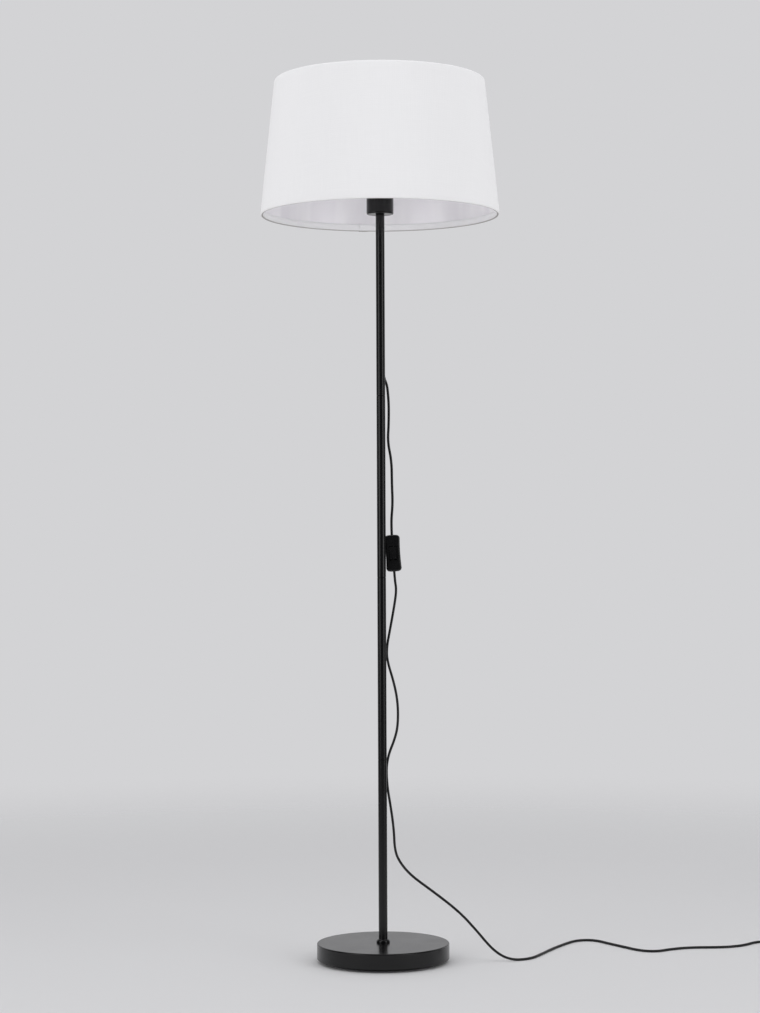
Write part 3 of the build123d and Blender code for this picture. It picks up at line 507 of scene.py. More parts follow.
def keep_piece(piece):
    """Fixes a finished piece to the stand."""
    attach(piece, STAND)
    return piece


# Lead. The points are the route of part.py, in metres, and the lead's line is a spline with
# those points as its control points.

CORD_DIAMETER = 4.4 * MM
EXIT = (0.006213, 0.007404, 0.991628)
SWITCH_MIDDLE = Vector((0.0197, 0.016, 0.6935))
SWITCH_TILT = radians(3.6)
SWITCH_UP = Vector((-sin(SWITCH_TILT), 0, cos(SWITCH_TILT)))
CORD_END = 23.5  # from the switch's middle
RUN_ABOVE = 51.5
RUN_BELOW = 45.5
ON_FLOOR = 2.25 * MM

COIL_CENTRE = Vector((0.717, 0.164))
COIL_MEAN = 52.0 * MM
COIL_TURNS = 3.389
COIL_START = radians(140)
COIL_PITCH = 5.0 * MM
COIL_LAYER = 4.9 * MM
COIL_REVERSAL = 0.12  # of a turn, over which the spiral turns from inwards to outwards
COIL_CLIMB = 0.5  # of a turn, over which the lead steps up a layer
POINTS_PER_TURN = 16
COIL_LEAD = 10.0 * MM
COIL_RUN = 16.0 * MM
PLUG_LEAD = 24.0 * MM


def on_switch_axis(distance_mm):
    """A point on the switch's long axis, this far above its middle."""
    return SWITCH_MIDDLE + SWITCH_UP * distance_mm * MM


def coil_point(turn):
    """The middle of the lead after this many turns of the coil, which winds inwards on the
    floor, steps up and winds outwards again on top of itself."""
    away = turn - COIL_TURNS / 2
    inner = (COIL_MEAN - COIL_PITCH * COIL_TURNS / 2) / 2
    radius = inner + COIL_PITCH * (hypot(away, COIL_REVERSAL) - COIL_REVERSAL)
    angle = COIL_START - 2 * pi * turn
    climb = min(max(away / COIL_CLIMB + 0.5, 0), 1)
    height = ON_FLOOR + COIL_LAYER * climb * climb * (3 - 2 * climb)
    across = COIL_CENTRE + radius * Vector((cos(angle), sin(angle)))
    return Vector((across.x, across.y, height))


def coil_way(turn):
    """The direction of the lead at this turn."""
    step = 0.001
    return (coil_point(turn + step) - coil_point(turn - step)).normalized()


def spline_tube(name, points, slot):
    """A round lead whose line is one quadratic NURBS spline with these control points."""
    data = bpy.data.curves.new(name, "CURVE")
    data.dimensions = "3D"
    data.resolution_u = 10
    data.bevel_depth = CORD_DIAMETER / 2
    data.bevel_resolution = 3
    data.use_fill_caps = True
    spline = data.splines.new("NURBS")
    spline.points.add(len(points) - 1)
    for control, point in zip(spline.points, points):
        control.co = (*point, 1.0)
    spline.order_u = 3
    spline.use_endpoint_u = True
    data.materials.append(finishes[slot])
    return keep_piece(new_object(name, data))


UPPER_ROUTE = [
    EXIT,
    (0.010218, 0.012177, 0.983654),
    (0.0121, 0.0145, 0.969),
    (0.0136, 0.0156, 0.948),
    (0.0133, 0.0154, 0.914),
    (0.0114, 0.0146, 0.884),
    (0.0180, 0.0149, 0.851),
    (0.0183, 0.0156, 0.812),
    (0.0196, 0.0162, 0.778),
    on_switch_axis(RUN_ABOVE),
    on_switch_axis(CORD_END),
]

DOWN_ROUTE = [
    on_switch_axis(-CORD_END),
    on_switch_axis(-RUN_BELOW),
    (0.0254, 0.0152, 0.630),
    (0.0209, 0.0134, 0.600),
    (0.0134, 0.0106, 0.560),
    (0.0087, 0.0078, 0.536),
    (0.0083, 0.0064, 0.512),
    (0.0200, 0.0048, 0.474),
    (0.0264, 0.0044, 0.442),
    (0.0272, 0.0044, 0.408),
    (0.0234, 0.0048, 0.382),
    (0.0071, 0.0076, 0.342),
    (0.0073, 0.0075, 0.300),
    (0.0151, 0.0050, 0.254),
    (0.0192, 0.0038, 0.220),
    (0.0201, 0.0032, 0.192),
    (0.0259, 0.0026, 0.172),
    (0.0462, 0.0022, 0.146),
    (0.0883, 0.0018, 0.1156),
    (0.1298, 0.0014, 0.083),
    (0.1570, 0.0010, 0.0535),
    (0.1880, -0.0010, 0.0165),
]

FLOOR_ROUTE = [
    (0.216, -0.007),
    (0.250, 0.004),
    (0.272, 0.048),
    (0.294, 0.098),
    (0.322, 0.150),
    (0.345, 0.184),
    (0.377, 0.186),
    (0.398, 0.150),
    (0.420, 0.118),
    (0.444, 0.080),
    (0.472, 0.068),
    (0.504, 0.094),
    (0.540, 0.108),
    (0.594, 0.107),
    (0.632, 0.124),
    (0.656, 0.156),
]


def lower_route():
    """The lead from the switch down to the floor, along it, and round the coil to the plug."""
    route = list(DOWN_ROUTE)
    route += [(x, y, ON_FLOOR) for x, y in FLOOR_ROUTE]
    start, way = coil_point(0), coil_way(0)
    route += [start - way * (COIL_LEAD + COIL_RUN), start - way * COIL_LEAD]
    turn_count = round(COIL_TURNS * POINTS_PER_TURN)
    for step in range(turn_count + 1):
        route.append(coil_point(COIL_TURNS * step / turn_count))
    end, end_way = coil_point(COIL_TURNS), coil_way(COIL_TURNS)
    route += [end + end_way * PLUG_LEAD * 0.5, end + end_way * PLUG_LEAD]
    return route


flex_upper = spline_tube("flex_upper", UPPER_ROUTE, "black_pvc_cord")
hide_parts("cord_upper")
flex_lower = spline_tube("flex_lower", lower_route(), "black_pvc_cord")
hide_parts("cord_lower", "cord_coil")


# Shade cloth: one sheet cut as part of a ring, wrapped once round the two wires with a glued
# overlap at the back, and rolled over both of them. It is drawn in the wall's own plane, where
# across goes inwards and along goes up the slant from the lower wire. Lengths here are in
# millimetres.

BOTTOM_RADIUS = 204.0
TOP_RADIUS = 180.0
SHADE_BOTTOM = 1270.0
SHADE_HEIGHT = 230.0
CLOTH = 0.6
HEM_RADIUS = 2.4
HEM_HEIGHT = 10.0
HEM_ACROSS = 1.6
HEM_LEAN = 1.3  # further in, part of the way down the hem
HEM_LEAN_SHARE = 0.55  # of the hem's height
OVERLAP = 15.0
OVERLAP_RISE = 0.66
OVERLAP_EASE = 2.5  # along the girth, over which the top layer rises
SEAM_ANGLE = atan2(201, -31)  # at the back, a little to the left of the middle
ARM_ANGLES = [radians(a) for a in (90, 210, 330)]
NOTCH_HALF_WIDTH = 3.4  # the cloth is cut away this far to each side of an arm
COLUMNS = 480
WALL_ROWS = 24
ROLL_ROWS = 12

# The painted shade on the underside of the roll over the lower wire: angles round the roll,
# from its inner side outwards, at which it is full and at which it ends, and how long it
# takes to fade out
PAINTED_SHADE_FULL = radians(50)
PAINTED_SHADE_END = radians(118)
PAINTED_SHADE_FADE = radians(38)

slant_rise = SHADE_HEIGHT - 2 * HEM_RADIUS
slant_angle = atan2(BOTTOM_RADIUS - TOP_RADIUS, slant_rise)
slant_length = hypot(BOTTOM_RADIUS - TOP_RADIUS, slant_rise)
wall_foot = SHADE_BOTTOM + HEM_RADIUS * (1 + sin(slant_angle))


def cloth_profile():
    """The cloth's middle line as (across, along, outward normal, length so far)."""
    roll = HEM_RADIUS - CLOTH / 2
    points = []
    points.append((HEM_ACROSS, HEM_HEIGHT))
    points.append((HEM_ACROSS + HEM_LEAN, HEM_HEIGHT * HEM_LEAN_SHARE))
    for step in range(ROLL_ROWS + 1):
        angle = pi * step / ROLL_ROWS
        points.append((HEM_RADIUS + roll * cos(angle), -roll * sin(angle)))
    for step in range(1, WALL_ROWS):
        points.append((CLOTH / 2, slant_length * step / WALL_ROWS))
    for step in range(ROLL_ROWS + 1):
        angle = pi * step / ROLL_ROWS
        points.append((HEM_RADIUS - roll * cos(angle), slant_length + roll * sin(angle)))
    points.append((HEM_ACROSS + HEM_LEAN, slant_length - HEM_HEIGHT * HEM_LEAN_SHARE))
    points.append((HEM_ACROSS, slant_length - HEM_HEIGHT))
    return points


def profile_normals(points):
    """The way out of the roll at each point of the profile."""
    normals = []
    for index in range(len(points)):
        before = points[max(index - 1, 0)]
        after = points[min(index + 1, len(points) - 1)]
        run, rise = after[0] - before[0], after[1] - before[1]
        length = hypot(run, rise)
        normals.append((-rise / length, run / length))
    return normals


def smooth_step(value):
    """0 below 0, 1 above 1, and eased between."""
    held = min(max(value, 0.0), 1.0)
    return held * held * (3 - 2 * held)


def cloth_sheet():
    """The sheet as a mesh, with its flat cut as the UV map."""
    profile = cloth_profile()
    normals = profile_normals(profile)
    lengths = [0.0]
    for here, there in zip(profile, profile[1:]):
        lengths.append(lengths[-1] + hypot(there[0] - here[0], there[1] - here[1]))
    wall_start = lengths[2 + ROLL_ROWS]
    rows = len(profile)
    overlap_angle = OVERLAP / BOTTOM_RADIUS
    sweep = 2 * pi + overlap_angle
    apex = BOTTOM_RADIUS / sin(slant_angle)
    points = []
    cut = []
    for column in range(COLUMNS + 1):
        turned = sweep * column / COLUMNS
        angle = SEAM_ANGLE + turned - overlap_angle / 2
        past_turn = (turned - 2 * pi) * BOTTOM_RADIUS
        lift = OVERLAP_RISE * smooth_step(past_turn / OVERLAP_EASE + 1)
        for (across, along), (side, up), length in zip(profile, normals, lengths):
            out_across = across + side * lift
            out_along = along + up * lift
            radius = (
                BOTTOM_RADIUS
                - out_across * cos(slant_angle)
                - out_along * sin(slant_angle)
            )
            height = wall_foot - out_across * sin(slant_angle) + out_along * cos(slant_angle)
            points.append((radius * cos(angle) * MM, radius * sin(angle) * MM, height * MM))
            spread = (turned - pi) * sin(slant_angle)
            distance = (apex - (length - wall_start)) * MM
            cut.append((distance * sin(spread), -distance * cos(spread)))
    notch_rows = {rows - 3, rows - 2}
    faces = []
    for column in range(COLUMNS):
        middle = SEAM_ANGLE + sweep * (column + 0.5) / COLUMNS - overlap_angle / 2
        beside_arm = any(
            abs(sin((middle - arm) / 2)) * 2 * TOP_RADIUS < NOTCH_HALF_WIDTH for arm in ARM_ANGLES
        )
        for row in range(rows - 1):
            if beside_arm and row in notch_rows:
                continue
            corner = column * rows + row
            faces.append((corner, corner + 1, corner + rows + 1, corner + rows))
    sheet = new_mesh("shade_cloth", points, faces, finishes["white_linen"])
    # Painted shade mask: 1 on the underside of the lower roll, where the cloth is tinted grey
    rolled = sheet.data.attributes.new("rolled", "FLOAT", "POINT")
    under = [0.0] * rows
    for step in range(ROLL_ROWS + 1):
        angle = pi * step / ROLL_ROWS
        under[2 + step] = smooth_step(angle / PAINTED_SHADE_FULL) * smooth_step((PAINTED_SHADE_END - angle) / PAINTED_SHADE_FADE)
    for index in range(len(points)):
        rolled.data[index].value = under[index % rows]
    uv = sheet.data.uv_layers.new(name="cut")
    for loop in sheet.data.loops:
        uv.data[loop.index].uv = cut[loop.vertex_index]
    wall = sheet.modifiers.new("cloth", "SOLIDIFY")
    wall.thickness = CLOTH * MM
    wall.offset = 0.0
    return sheet


shade_cloth = keep_piece(cloth_sheet())
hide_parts("shade_fabric")


# Lead inside the column, from the lampholder down to where it leaves the top section

LEAD_TOP = 1.2838
INNER_ROUTE = [(0, 0, LEAD_TOP), (0, 0, 1.0197), (0, 0, 1.004), EXIT]
flex_inner = spline_tube("flex_inner", INNER_ROUTE, "black_pvc_cord")
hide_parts("inner_lead")


# Pieces grown by Geometry Nodes

def new_tree(name, **inputs):
    """A geometry node tree with a named input for each size, and its group input node."""
    tree = bpy.data.node_groups.new(name, "GeometryNodeTree")
    tree.interface.new_socket("Geometry", in_out="OUTPUT", socket_type="NodeSocketGeometry")
    tree.interface.new_socket("Geometry", in_out="INPUT", socket_type="NodeSocketGeometry")
    kinds = {float: "NodeSocketFloat", int: "NodeSocketInt", tuple: "NodeSocketVector"}
    for label, value in inputs.items():
        socket = tree.interface.new_socket(
            label, in_out="INPUT", socket_type=kinds[type(value)]
        )
        socket.default_value = value
    return tree, add_node(tree, "NodeGroupInput").outputs


def one_material(mesh):
    """Drops the empty slots that node trees leave, so that every face has the one finish."""
    kept = [material for material in mesh.materials if material]
    mesh.materials.clear()
    mesh.materials.append(kept[0])
    return mesh


def grow(name, tree, start_points, **sizes):
    """Runs a tree on loose points, and keeps what it makes as one plain mesh."""
    start = bpy.data.meshes.new(name + "_start")
    start.from_pydata(start_points, [], [])
    carrier = new_object(name + "_start", start)
    modifier = carrier.modifiers.new(name, "NODES")
    modifier.node_group = tree
    for item in tree.interface.items_tree:
        if item.in_out == "INPUT" and item.name in sizes:
            modifier[item.identifier] = sizes[item.name]
    carrier.update_tag()
    graph = bpy.context.evaluated_depsgraph_get()
    mesh = bpy.data.meshes.new_from_object(carrier.evaluated_get(graph), depsgraph=graph)
    mesh.name = name
    carrier.modifiers.remove(modifier)
    bpy.data.objects.remove(carrier)
    return new_object(name, one_material(mesh))


SHANK_IN_HEAD = 0.9  # of the head's height, where the shank starts inside it


def cross_screw_tree(material):
    """A cross recessed screw on each point, each turned about its axis as it happened to
    stop. The head's face is at the point, and the screw goes in along its direction."""
    tree, size = new_tree(
        "cross_screws",
        direction=(0.0, 0.0, 1.0),
        head_radius=4.0 * MM,
        head_foot=2.0 * MM,
        head_height=2.0 * MM,
        shank_radius=1.9 * MM,
        length=13.0 * MM,
        recess_span=4.4 * MM,
        recess_width=0.9 * MM,
        recess_depth=1.3 * MM,
        seed=4,
    )
    head = add_node(
        tree,
        "GeometryNodeMeshCone",
        {
            "Vertices": 40,
            "Radius Bottom": size["head_radius"],
            "Radius Top": size["head_foot"],
            "Depth": size["head_height"],
        },
    ).outputs["Mesh"]
    shank_start = add_node(
        tree, "ShaderNodeMath", {0: size["head_height"], 1: SHANK_IN_HEAD}, operation="MULTIPLY"
    ).outputs[0]
    shank_length = add_node(
        tree, "ShaderNodeMath", {0: size["length"], 1: shank_start}, operation="SUBTRACT"
    ).outputs[0]
    rod = add_node(
        tree,
        "GeometryNodeMeshCylinder",
        {"Vertices": 40, "Radius": size["shank_radius"], "Depth": shank_length},
    ).outputs["Mesh"]
    rod_height = add_node(
        tree, "ShaderNodeMath", {0: shank_length, 1: 0.5, 2: shank_start}, operation="MULTIPLY_ADD"
    ).outputs[0]
    rod_place = add_node(tree, "ShaderNodeCombineXYZ", {"Z": rod_height}).outputs["Vector"]
    shank = add_node(
        tree, "GeometryNodeTransform", {"Geometry": rod, "Translation": rod_place}
    ).outputs["Geometry"]
    blank = add_node(tree, "GeometryNodeMeshBoolean", operation="UNION", solver="EXACT")
    tree.links.new(head, blank.inputs["Mesh 2"])
    tree.links.new(shank, blank.inputs["Mesh 2"])
    cut_depth = add_node(
        tree, "ShaderNodeMath", {0: size["recess_depth"], 1: 2.0}, operation="MULTIPLY"
    ).outputs[0]
    bars = []
    for span, width in (("recess_span", "recess_width"), ("recess_width", "recess_span")):
        box = add_node(
            tree, "ShaderNodeCombineXYZ", {"X": size[span], "Y": size[width], "Z": cut_depth}
        ).outputs["Vector"]
        bars.append(add_node(tree, "GeometryNodeMeshCube", {"Size": box}).outputs["Mesh"])
    recessed = add_node(
        tree,
        "GeometryNodeMeshBoolean",
        {"Mesh 1": blank.outputs["Mesh"], "Self Intersection": True},
        operation="DIFFERENCE",
        solver="EXACT",
    )
    for bar in bars:
        tree.links.new(bar, recessed.inputs["Mesh 2"])
    facing = add_node(
        tree, "FunctionNodeAlignRotationToVector", {"Vector": size["direction"]}, axis="Z"
    ).outputs["Rotation"]
    placed = add_node(
        tree,
        "GeometryNodeInstanceOnPoints",
        {"Points": size["Geometry"], "Instance": recessed.outputs["Mesh"], "Rotation": facing},
    ).outputs["Instances"]
    turn = add_node(
        tree,
        "FunctionNodeRandomValue",
        {"Max": (0.0, 0.0, 2 * pi), "Seed": size["seed"]},
        data_type="FLOAT_VECTOR",
    ).outputs["Value"]
    turned = add_node(
        tree, "GeometryNodeRotateInstances", {"Instances": placed, "Rotation": turn}
    ).outputs["Instances"]
    real = add_node(tree, "GeometryNodeRealizeInstances", {"Geometry": turned})
    finished = add_node(
        tree,
        "GeometryNodeSetMaterial",
        {"Geometry": real.outputs["Geometry"], "Material": material},
    )
    add_node(tree, "NodeGroupOutput", {"Geometry": finished.outputs["Geometry"]})
    return tree


FOOT_SCREW_CIRCLE = 66.0
SCREW_MOUTH = 1.8
SCREW_ANGLES = [radians(a) for a in (0, 120, 240)]
CASE_SCREW = (8.3, 20.5)
CASE_SCREW_FACE = 25.7  # mm, 0.3 inside the switch's back

screw_tree = cross_screw_tree(finishes["zinc_steel"])
foot_screws = grow(
    "foot_screws",
    screw_tree,
    [
        (FOOT_SCREW_CIRCLE * cos(a) * MM, FOOT_SCREW_CIRCLE * sin(a) * MM, SCREW_MOUTH * MM)
        for a in SCREW_ANGLES
    ],
)
keep_piece(foot_screws)
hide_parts("base_foot_screws")

SWITCH_ACROSS = Vector((cos(SWITCH_TILT), 0, sin(SWITCH_TILT)))
case_points = []
for side in (1, -1):
    point = SWITCH_MIDDLE + side * MM * (CASE_SCREW[0] * SWITCH_ACROSS + CASE_SCREW[1] * SWITCH_UP)
    case_points.append((point.x, CASE_SCREW_FACE * MM, point.z))
case_screws = grow(
    "case_screws",
    screw_tree,
    case_points,
    direction=(0.0, -1.0, 0.0),
    head_radius=2.7 * MM,
    head_foot=2.7 * MM,
    head_height=2.3 * MM,
    shank_radius=1.5 * MM,
    length=14.7 * MM,
    recess_span=3.2 * MM,
    recess_width=0.7 * MM,
    recess_depth=1.1 * MM,
    seed=9,
)
keep_piece(case_screws)
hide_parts("switch_case_screws")


def screw_shell_tree(material):
    """The lampholder's screw shell: one sheet, a plain neck, a step outwards, then the round
    thread pressed into it. Each point of a flat grid goes to its place by this rule."""
    tree, size = new_tree(
        "screw_shell",
        neck_radius=12.05 * MM,
        neck_height=5.6 * MM,
        mean_radius=13.0 * MM,
        thread_depth=0.55 * MM,
        pitch=3.629 * MM,
        thread_height=24.3 * MM,
        floor=1300.0 * MM,
    )
    grid = add_node(
        tree,
        "GeometryNodeMeshGrid",
        {"Size X": 1.0, "Size Y": 1.0, "Vertices X": 73, "Vertices Y": 121},
    )
    place = add_node(tree, "GeometryNodeInputPosition").outputs["Position"]
    flat = add_node(tree, "ShaderNodeSeparateXYZ", {"Vector": place})
    angle = add_node(
        tree, "ShaderNodeMath", {0: flat.outputs["X"], 1: 2 * pi, 2: pi}, operation="MULTIPLY_ADD"
    ).outputs[0]
    step_width = add_node(
        tree,
        "ShaderNodeMath",
        {0: size["mean_radius"], 1: size["neck_radius"]},
        operation="SUBTRACT",
    ).outputs[0]
    neck_and_step = add_node(
        tree, "ShaderNodeMath", {0: size["neck_height"], 1: step_width}, operation="ADD"
    ).outputs[0]
    whole = add_node(
        tree, "ShaderNodeMath", {0: neck_and_step, 1: size["thread_height"]}, operation="ADD"
    ).outputs[0]
    gone = add_node(
        tree,
        "ShaderNodeMapRange",
        {"Value": flat.outputs["Y"], "From Min": -0.5, "From Max": 0.5, "To Max": whole},
    ).outputs["Result"]
    stretches = []
    for start, length in (
        (0.0, size["neck_height"]),
        (size["neck_height"], step_width),
        (neck_and_step, size["thread_height"]),
    ):
        past = add_node(tree, "ShaderNodeMath", {0: gone, 1: start}, operation="SUBTRACT")
        held = add_node(
            tree, "ShaderNodeClamp", {"Value": past.outputs[0], "Min": 0.0, "Max": length}
        )
        stretches.append(held.outputs["Result"])
    up_neck, outwards, up_thread = stretches
    left = add_node(
        tree, "ShaderNodeMath", {0: size["thread_height"], 1: up_thread}, operation="SUBTRACT"
    ).outputs[0]
    fades = []
    for distance in (up_thread, left):
        fades.append(
            add_node(
                tree,
                "ShaderNodeMapRange",
                {"Value": distance, "From Min": 0.0, "From Max": size["pitch"]},
                interpolation_type="SMOOTHSTEP",
            ).outputs["Result"]
        )
    fade = add_node(tree, "ShaderNodeMath", {0: fades[0], 1: fades[1]}, operation="MULTIPLY")
    turns = add_node(
        tree, "ShaderNodeMath", {0: up_thread, 1: size["pitch"]}, operation="DIVIDE"
    ).outputs[0]
    wave_angle = add_node(
        tree, "ShaderNodeMath", {0: turns, 1: 2 * pi, 2: angle}, operation="MULTIPLY_ADD"
    ).outputs[0]
    wave = add_node(tree, "ShaderNodeMath", {0: wave_angle}, operation="COSINE").outputs[0]
    faded = add_node(
        tree, "ShaderNodeMath", {0: wave, 1: fade.outputs[0]}, operation="MULTIPLY"
    ).outputs[0]
    smooth_radius = add_node(
        tree, "ShaderNodeMath", {0: size["neck_radius"], 1: outwards}, operation="ADD"
    ).outputs[0]
    radius = add_node(
        tree,
        "ShaderNodeMath",
        {0: faded, 1: size["thread_depth"], 2: smooth_radius},
        operation="MULTIPLY_ADD",
    ).outputs[0]
    way_there = {}
    for axis, operation in (("X", "COSINE"), ("Y", "SINE")):
        share = add_node(tree, "ShaderNodeMath", {0: angle}, operation=operation).outputs[0]
        out = add_node(tree, "ShaderNodeMath", {0: radius, 1: share}, operation="MULTIPLY")
        way_there[axis] = out.outputs[0]
    risen = add_node(tree, "ShaderNodeMath", {0: up_neck, 1: up_thread}, operation="ADD")
    height = add_node(
        tree, "ShaderNodeMath", {0: risen.outputs[0], 1: size["floor"]}, operation="ADD"
    )
    way_there["Z"] = height.outputs[0]
    there = add_node(tree, "ShaderNodeCombineXYZ", way_there).outputs["Vector"]
    rolled = add_node(
        tree, "GeometryNodeSetPosition", {"Geometry": grid.outputs["Mesh"], "Position": there}
    ).outputs["Geometry"]
    closed = add_node(
        tree, "GeometryNodeMergeByDistance", {"Geometry": rolled, "Distance": 0.01 * MM}
    ).outputs["Geometry"]
    eased = add_node(tree, "GeometryNodeSetShadeSmooth", {"Geometry": closed}).outputs["Geometry"]
    real = add_node(tree, "GeometryNodeRealizeInstances", {"Geometry": eased})
    finished = add_node(
        tree,
        "GeometryNodeSetMaterial",
        {"Geometry": real.outputs["Geometry"], "Material": material},
    )
    add_node(tree, "NodeGroupOutput", {"Geometry": finished.outputs["Geometry"]})
    return tree


SHELL_WALL = 0.5
screw_shell = grow("screw_shell", screw_shell_tree(finishes["nickelled_brass"]), [(0, 0, 0)])
wall = screw_shell.modifiers.new("sheet", "SOLIDIFY")
wall.thickness = SHELL_WALL * MM
wall.offset = 0.0
keep_piece(screw_shell)
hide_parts("holder_screw_shell")


FELT_EDGE = 0.6  # where a face's normal is flatter than this, the face is a cut edge


def felt_tree(material):
    """Short fibres that stand out from the felt's cut edges, between the floor and the foot."""
    tree, size = new_tree(
        "felt_fibres",
        density=1.6e6,
        fibre_length=0.7 * MM,
        fibre_radius=0.03 * MM,
        thickness=1.5 * MM,
        seed=11,
    )
    normal = add_node(tree, "GeometryNodeInputNormal").outputs["Normal"]
    parts = add_node(tree, "ShaderNodeSeparateXYZ", {"Vector": normal})
    steepness = add_node(tree, "ShaderNodeMath", {0: parts.outputs["Z"]}, operation="ABSOLUTE")
    on_edge = add_node(
        tree,
        "FunctionNodeCompare",
        {0: steepness.outputs[0], 1: FELT_EDGE},
        data_type="FLOAT",
        operation="LESS_THAN",
    ).outputs["Result"]
    roots = add_node(
        tree,
        "GeometryNodeDistributePointsOnFaces",
        {
            "Mesh": size["Geometry"],
            "Selection": on_edge,
            "Density": size["density"],
            "Seed": size["seed"],
        },
    )
    fibre = add_node(
        tree,
        "GeometryNodeMeshCone",
        {
            "Vertices": 3,
            "Radius Top": 0.0,
            "Radius Bottom": size["fibre_radius"],
            "Depth": size["fibre_length"],
        },
    ).outputs["Mesh"]
    planted = add_node(
        tree,
        "GeometryNodeInstanceOnPoints",
        {"Points": roots.outputs["Points"], "Instance": fibre, "Rotation": roots.outputs["Rotation"]},
    ).outputs["Instances"]
    lean = add_node(
        tree,
        "FunctionNodeRandomValue",
        {"Min": (-1.1, -1.1, -pi), "Max": (1.1, 1.1, pi), "Seed": size["seed"]},
        data_type="FLOAT_VECTOR",
    ).outputs["Value"]
    leaning = add_node(
        tree, "GeometryNodeRotateInstances", {"Instances": planted, "Rotation": lean}
    ).outputs["Instances"]
    both = add_node(tree, "GeometryNodeJoinGeometry")
    tree.links.new(size["Geometry"], both.inputs["Geometry"])
    tree.links.new(leaning, both.inputs["Geometry"])
    real = add_node(tree, "GeometryNodeRealizeInstances", {"Geometry": both.outputs["Geometry"]})
    place = add_node(tree, "GeometryNodeInputPosition").outputs["Position"]
    where = add_node(tree, "ShaderNodeSeparateXYZ", {"Vector": place})
    height = add_node(
        tree,
        "ShaderNodeClamp",
        {"Value": where.outputs["Z"], "Min": 0.0, "Max": size["thickness"]},
    ).outputs["Result"]
    level = add_node(
        tree,
        "ShaderNodeCombineXYZ",
        {"X": where.outputs["X"], "Y": where.outputs["Y"], "Z": height},
    ).outputs["Vector"]
    pressed = add_node(
        tree, "GeometryNodeSetPosition", {"Geometry": real.outputs["Geometry"], "Position": level}
    )
    finished = add_node(
        tree,
        "GeometryNodeSetMaterial",
        {"Geometry": pressed.outputs["Geometry"], "Material": material},
    )
    add_node(tree, "NodeGroupOutput", {"Geometry": finished.outputs["Geometry"]})
    return tree


FELT_INNER = 81.5
FELT_OUTER = 96.5
FELT_THICK = 1.5
FELT_ROUNDING = 0.35
FELT_COLUMNS = 240
FELT_WAVES = ((0.12, 7, 1.1), (0.08, 17, 0.0), (0.05, 41, 0.4))  # mm, waves round it, phase


def felt_band():
    """The felt ring's points and faces: a flat band with soft edges, pressed a little uneven."""
    section = []
    for radius, way in ((FELT_OUTER, 1), (FELT_INNER, -1)):
        corners = ((FELT_ROUNDING, 0.0), (0.0, FELT_ROUNDING), (0.0, FELT_THICK - FELT_ROUNDING))
        side = [(radius - way * inset, height) for inset, height in corners]
        side.append((radius - way * FELT_ROUNDING, FELT_THICK))
        section += side if way > 0 else side[::-1]
    points = []
    for column in range(FELT_COLUMNS):
        angle = 2 * pi * column / FELT_COLUMNS
        uneven = sum(size * sin(waves * angle + phase) for size, waves, phase in FELT_WAVES)
        for radius, height in section:
            out = radius + uneven
            points.append((out * cos(angle) * MM, out * sin(angle) * MM, height * MM))
    rows = len(section)
    faces = []
    for column in range(FELT_COLUMNS):
        there = (column + 1) % FELT_COLUMNS
        for row in range(rows):
            above = (row + 1) % rows
            faces.append(
                (
                    column * rows + row,
                    there * rows + row,
                    there * rows + above,
                    column * rows + above,
                )
            )
    return points, faces


felt_points, felt_faces = felt_band()
felt_ring = new_mesh("felt_ring", felt_points, felt_faces, finishes["grey_felt"])
fibres = felt_ring.modifiers.new("fibres", "NODES")
fibres.node_group = felt_tree(finishes["grey_felt"])
graph = bpy.context.evaluated_depsgraph_get()
felt_mesh = bpy.data.meshes.new_from_object(felt_ring.evaluated_get(graph), depsgraph=graph)
felt_ring.modifiers.remove(fibres)
felt_ring.data = one_material(felt_mesh)
keep_piece(felt_ring)
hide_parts("base_felt_ring")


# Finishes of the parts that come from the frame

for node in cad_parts.values():
    for place in node.material_slots:
        slot_name = place.material.name.split(".")[0]
        place.material = finishes[slot_name]


# Floor and light: a pale floor that fades into a pale grey room, a tall soft box in front on
# each side, a weak one above, and an even fill from all round.

def to_the_eye(tree):
    """1 for what the eye sees, straight or in a gloss, and 0 for light on its way."""
    path = add_node(tree, "ShaderNodeLightPath")
    shown = add_node(
        tree,
        "ShaderNodeMath",
        {0: path.outputs["Is Camera Ray"], 1: path.outputs["Is Glossy Ray"]},
        operation="MAXIMUM",
    )
    seen = add_node(
        tree,
        "ShaderNodeMath",
        {0: shown.outputs[0], 1: path.outputs["Is Transmission Ray"]},
        operation="MAXIMUM",
    )
    return seen.outputs[0]


def floor_paint():
    """Matt pale floor, which gives way to the room's grey further out. The light that it
    throws up into the shade is a little stronger and warmer than its colour to the eye."""
    material, tree = new_material("pale_floor")
    place = add_node(tree, "ShaderNodeTexCoord").outputs["Object"]
    distance = add_node(tree, "ShaderNodeVectorMath", {0: place}, operation="LENGTH")
    fade = add_node(
        tree,
        "ShaderNodeMapRange",
        {"Value": distance.outputs["Value"], "From Min": 0.7, "From Max": 3.2},
        interpolation_type="SMOOTHSTEP",
    )
    colour = add_node(
        tree,
        "ShaderNodeMix",
        {"Factor": to_the_eye(tree), 6: linear("#f0eeed"), 7: linear("#dadadb")},
        data_type="RGBA",
    )
    matt = add_node(
        tree,
        "ShaderNodeBsdfPrincipled",
        {"Base Color": colour.outputs[2], "Roughness": 0.8},
    )
    clear = add_node(tree, "ShaderNodeBsdfTransparent")
    mixed = add_node(
        tree,
        "ShaderNodeMixShader",
        {0: fade.outputs["Result"], 1: matt.outputs["BSDF"], 2: clear.outputs["BSDF"]},
    )
    add_node(tree, "ShaderNodeOutputMaterial", {"Surface": mixed.outputs["Shader"]})
    return material


floor_size = 5.0
floor = new_mesh(
    "floor",
    [
        (-floor_size, -floor_size, 0),
        (floor_size, -floor_size, 0),
        (floor_size, floor_size, 0),
        (-floor_size, floor_size, 0),
    ],
    [(0, 1, 2, 3)],
    floor_paint(),
)


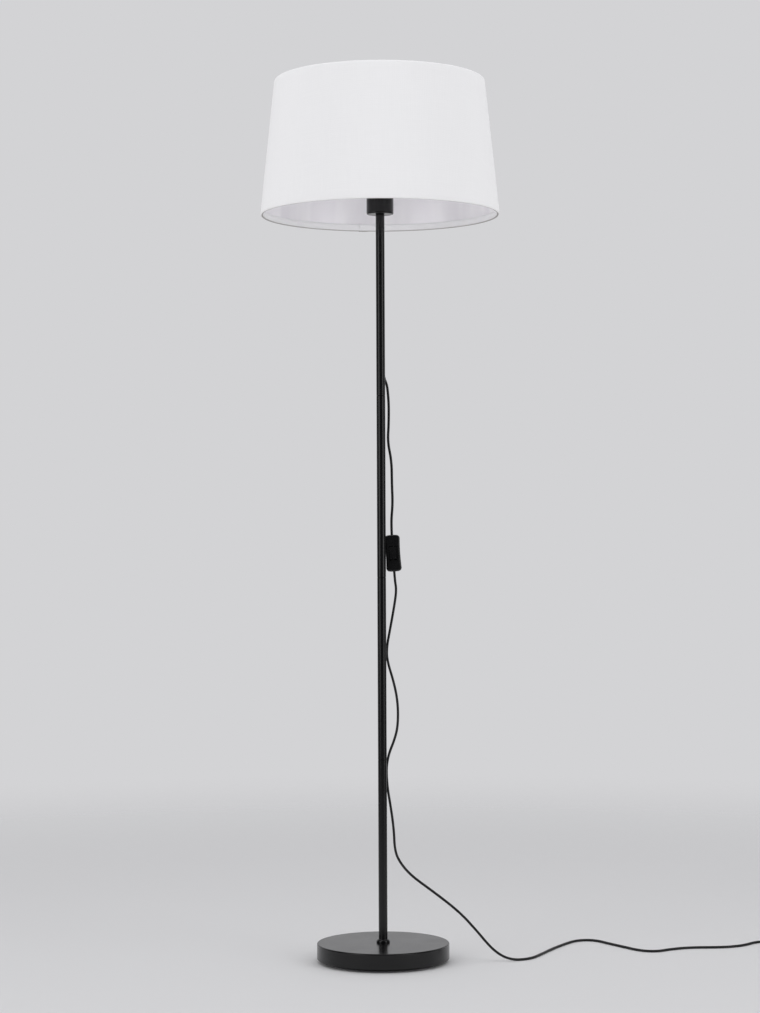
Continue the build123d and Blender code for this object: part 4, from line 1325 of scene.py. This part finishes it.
def room_light():
    """The room: a plain grey to the eye, a pale wall behind the lamp and a darker room in front
    of it in reflections, and a soft fill on the object."""
    world = bpy.data.worlds.new("room")
    world.use_nodes = True
    tree = world.node_tree
    tree.nodes.clear()
    way = add_node(tree, "ShaderNodeTexCoord").outputs["Generated"]
    parts = add_node(tree, "ShaderNodeSeparateXYZ", {"Vector": way})
    wall = add_node(
        tree,
        "ShaderNodeMapRange",
        {"Value": parts.outputs["Y"], "From Min": 0.15, "From Max": 0.8},
        interpolation_type="SMOOTHSTEP",
    )
    around = add_node(
        tree,
        "ShaderNodeMix",
        {"Factor": wall.outputs["Result"], 6: linear("#4c4c4e"), 7: linear("#d3d3d5")},
        data_type="RGBA",
    )
    path = add_node(tree, "ShaderNodeLightPath")
    shown = add_node(
        tree,
        "ShaderNodeMix",
        {"Factor": path.outputs["Is Glossy Ray"], 6: linear("#d3d3d5"), 7: around.outputs[2]},
        data_type="RGBA",
    )
    colour = add_node(
        tree,
        "ShaderNodeMix",
        {"Factor": to_the_eye(tree), 6: linear("#c4c4c6"), 7: shown.outputs[2]},
        data_type="RGBA",
    )
    background = add_node(tree, "ShaderNodeBackground", {"Color": colour.outputs[2]})
    add_node(tree, "ShaderNodeOutputWorld", {"Surface": background.outputs["Background"]})
    scene.world = world


def soft_box(name, azimuth, distance, height, width, tall, power):
    """A soft box that faces the column. Azimuth is in degrees from the front, to the right."""
    data = bpy.data.lights.new(name, "AREA")
    data.shape = "RECTANGLE"
    data.size = width
    data.size_y = tall
    data.energy = power
    box = bpy.data.objects.new(name, data)
    scene.collection.objects.link(box)
    turned = radians(azimuth)
    box.location = (distance * sin(turned), -distance * cos(turned), height)
    aim = Vector((0, 0, 0.85)) - box.location
    box.rotation_euler = aim.to_track_quat("-Z", "Y").to_euler()


room_light()
soft_box("box_left", azimuth=-50, distance=2.8, height=1.5, width=1.6, tall=2.6, power=24)
soft_box("box_right", azimuth=56, distance=2.8, height=1.4, width=1.5, tall=2.6, power=22.5)
soft_box("box_above", azimuth=180, distance=0.3, height=3.0, width=2.4, tall=2.4, power=22)
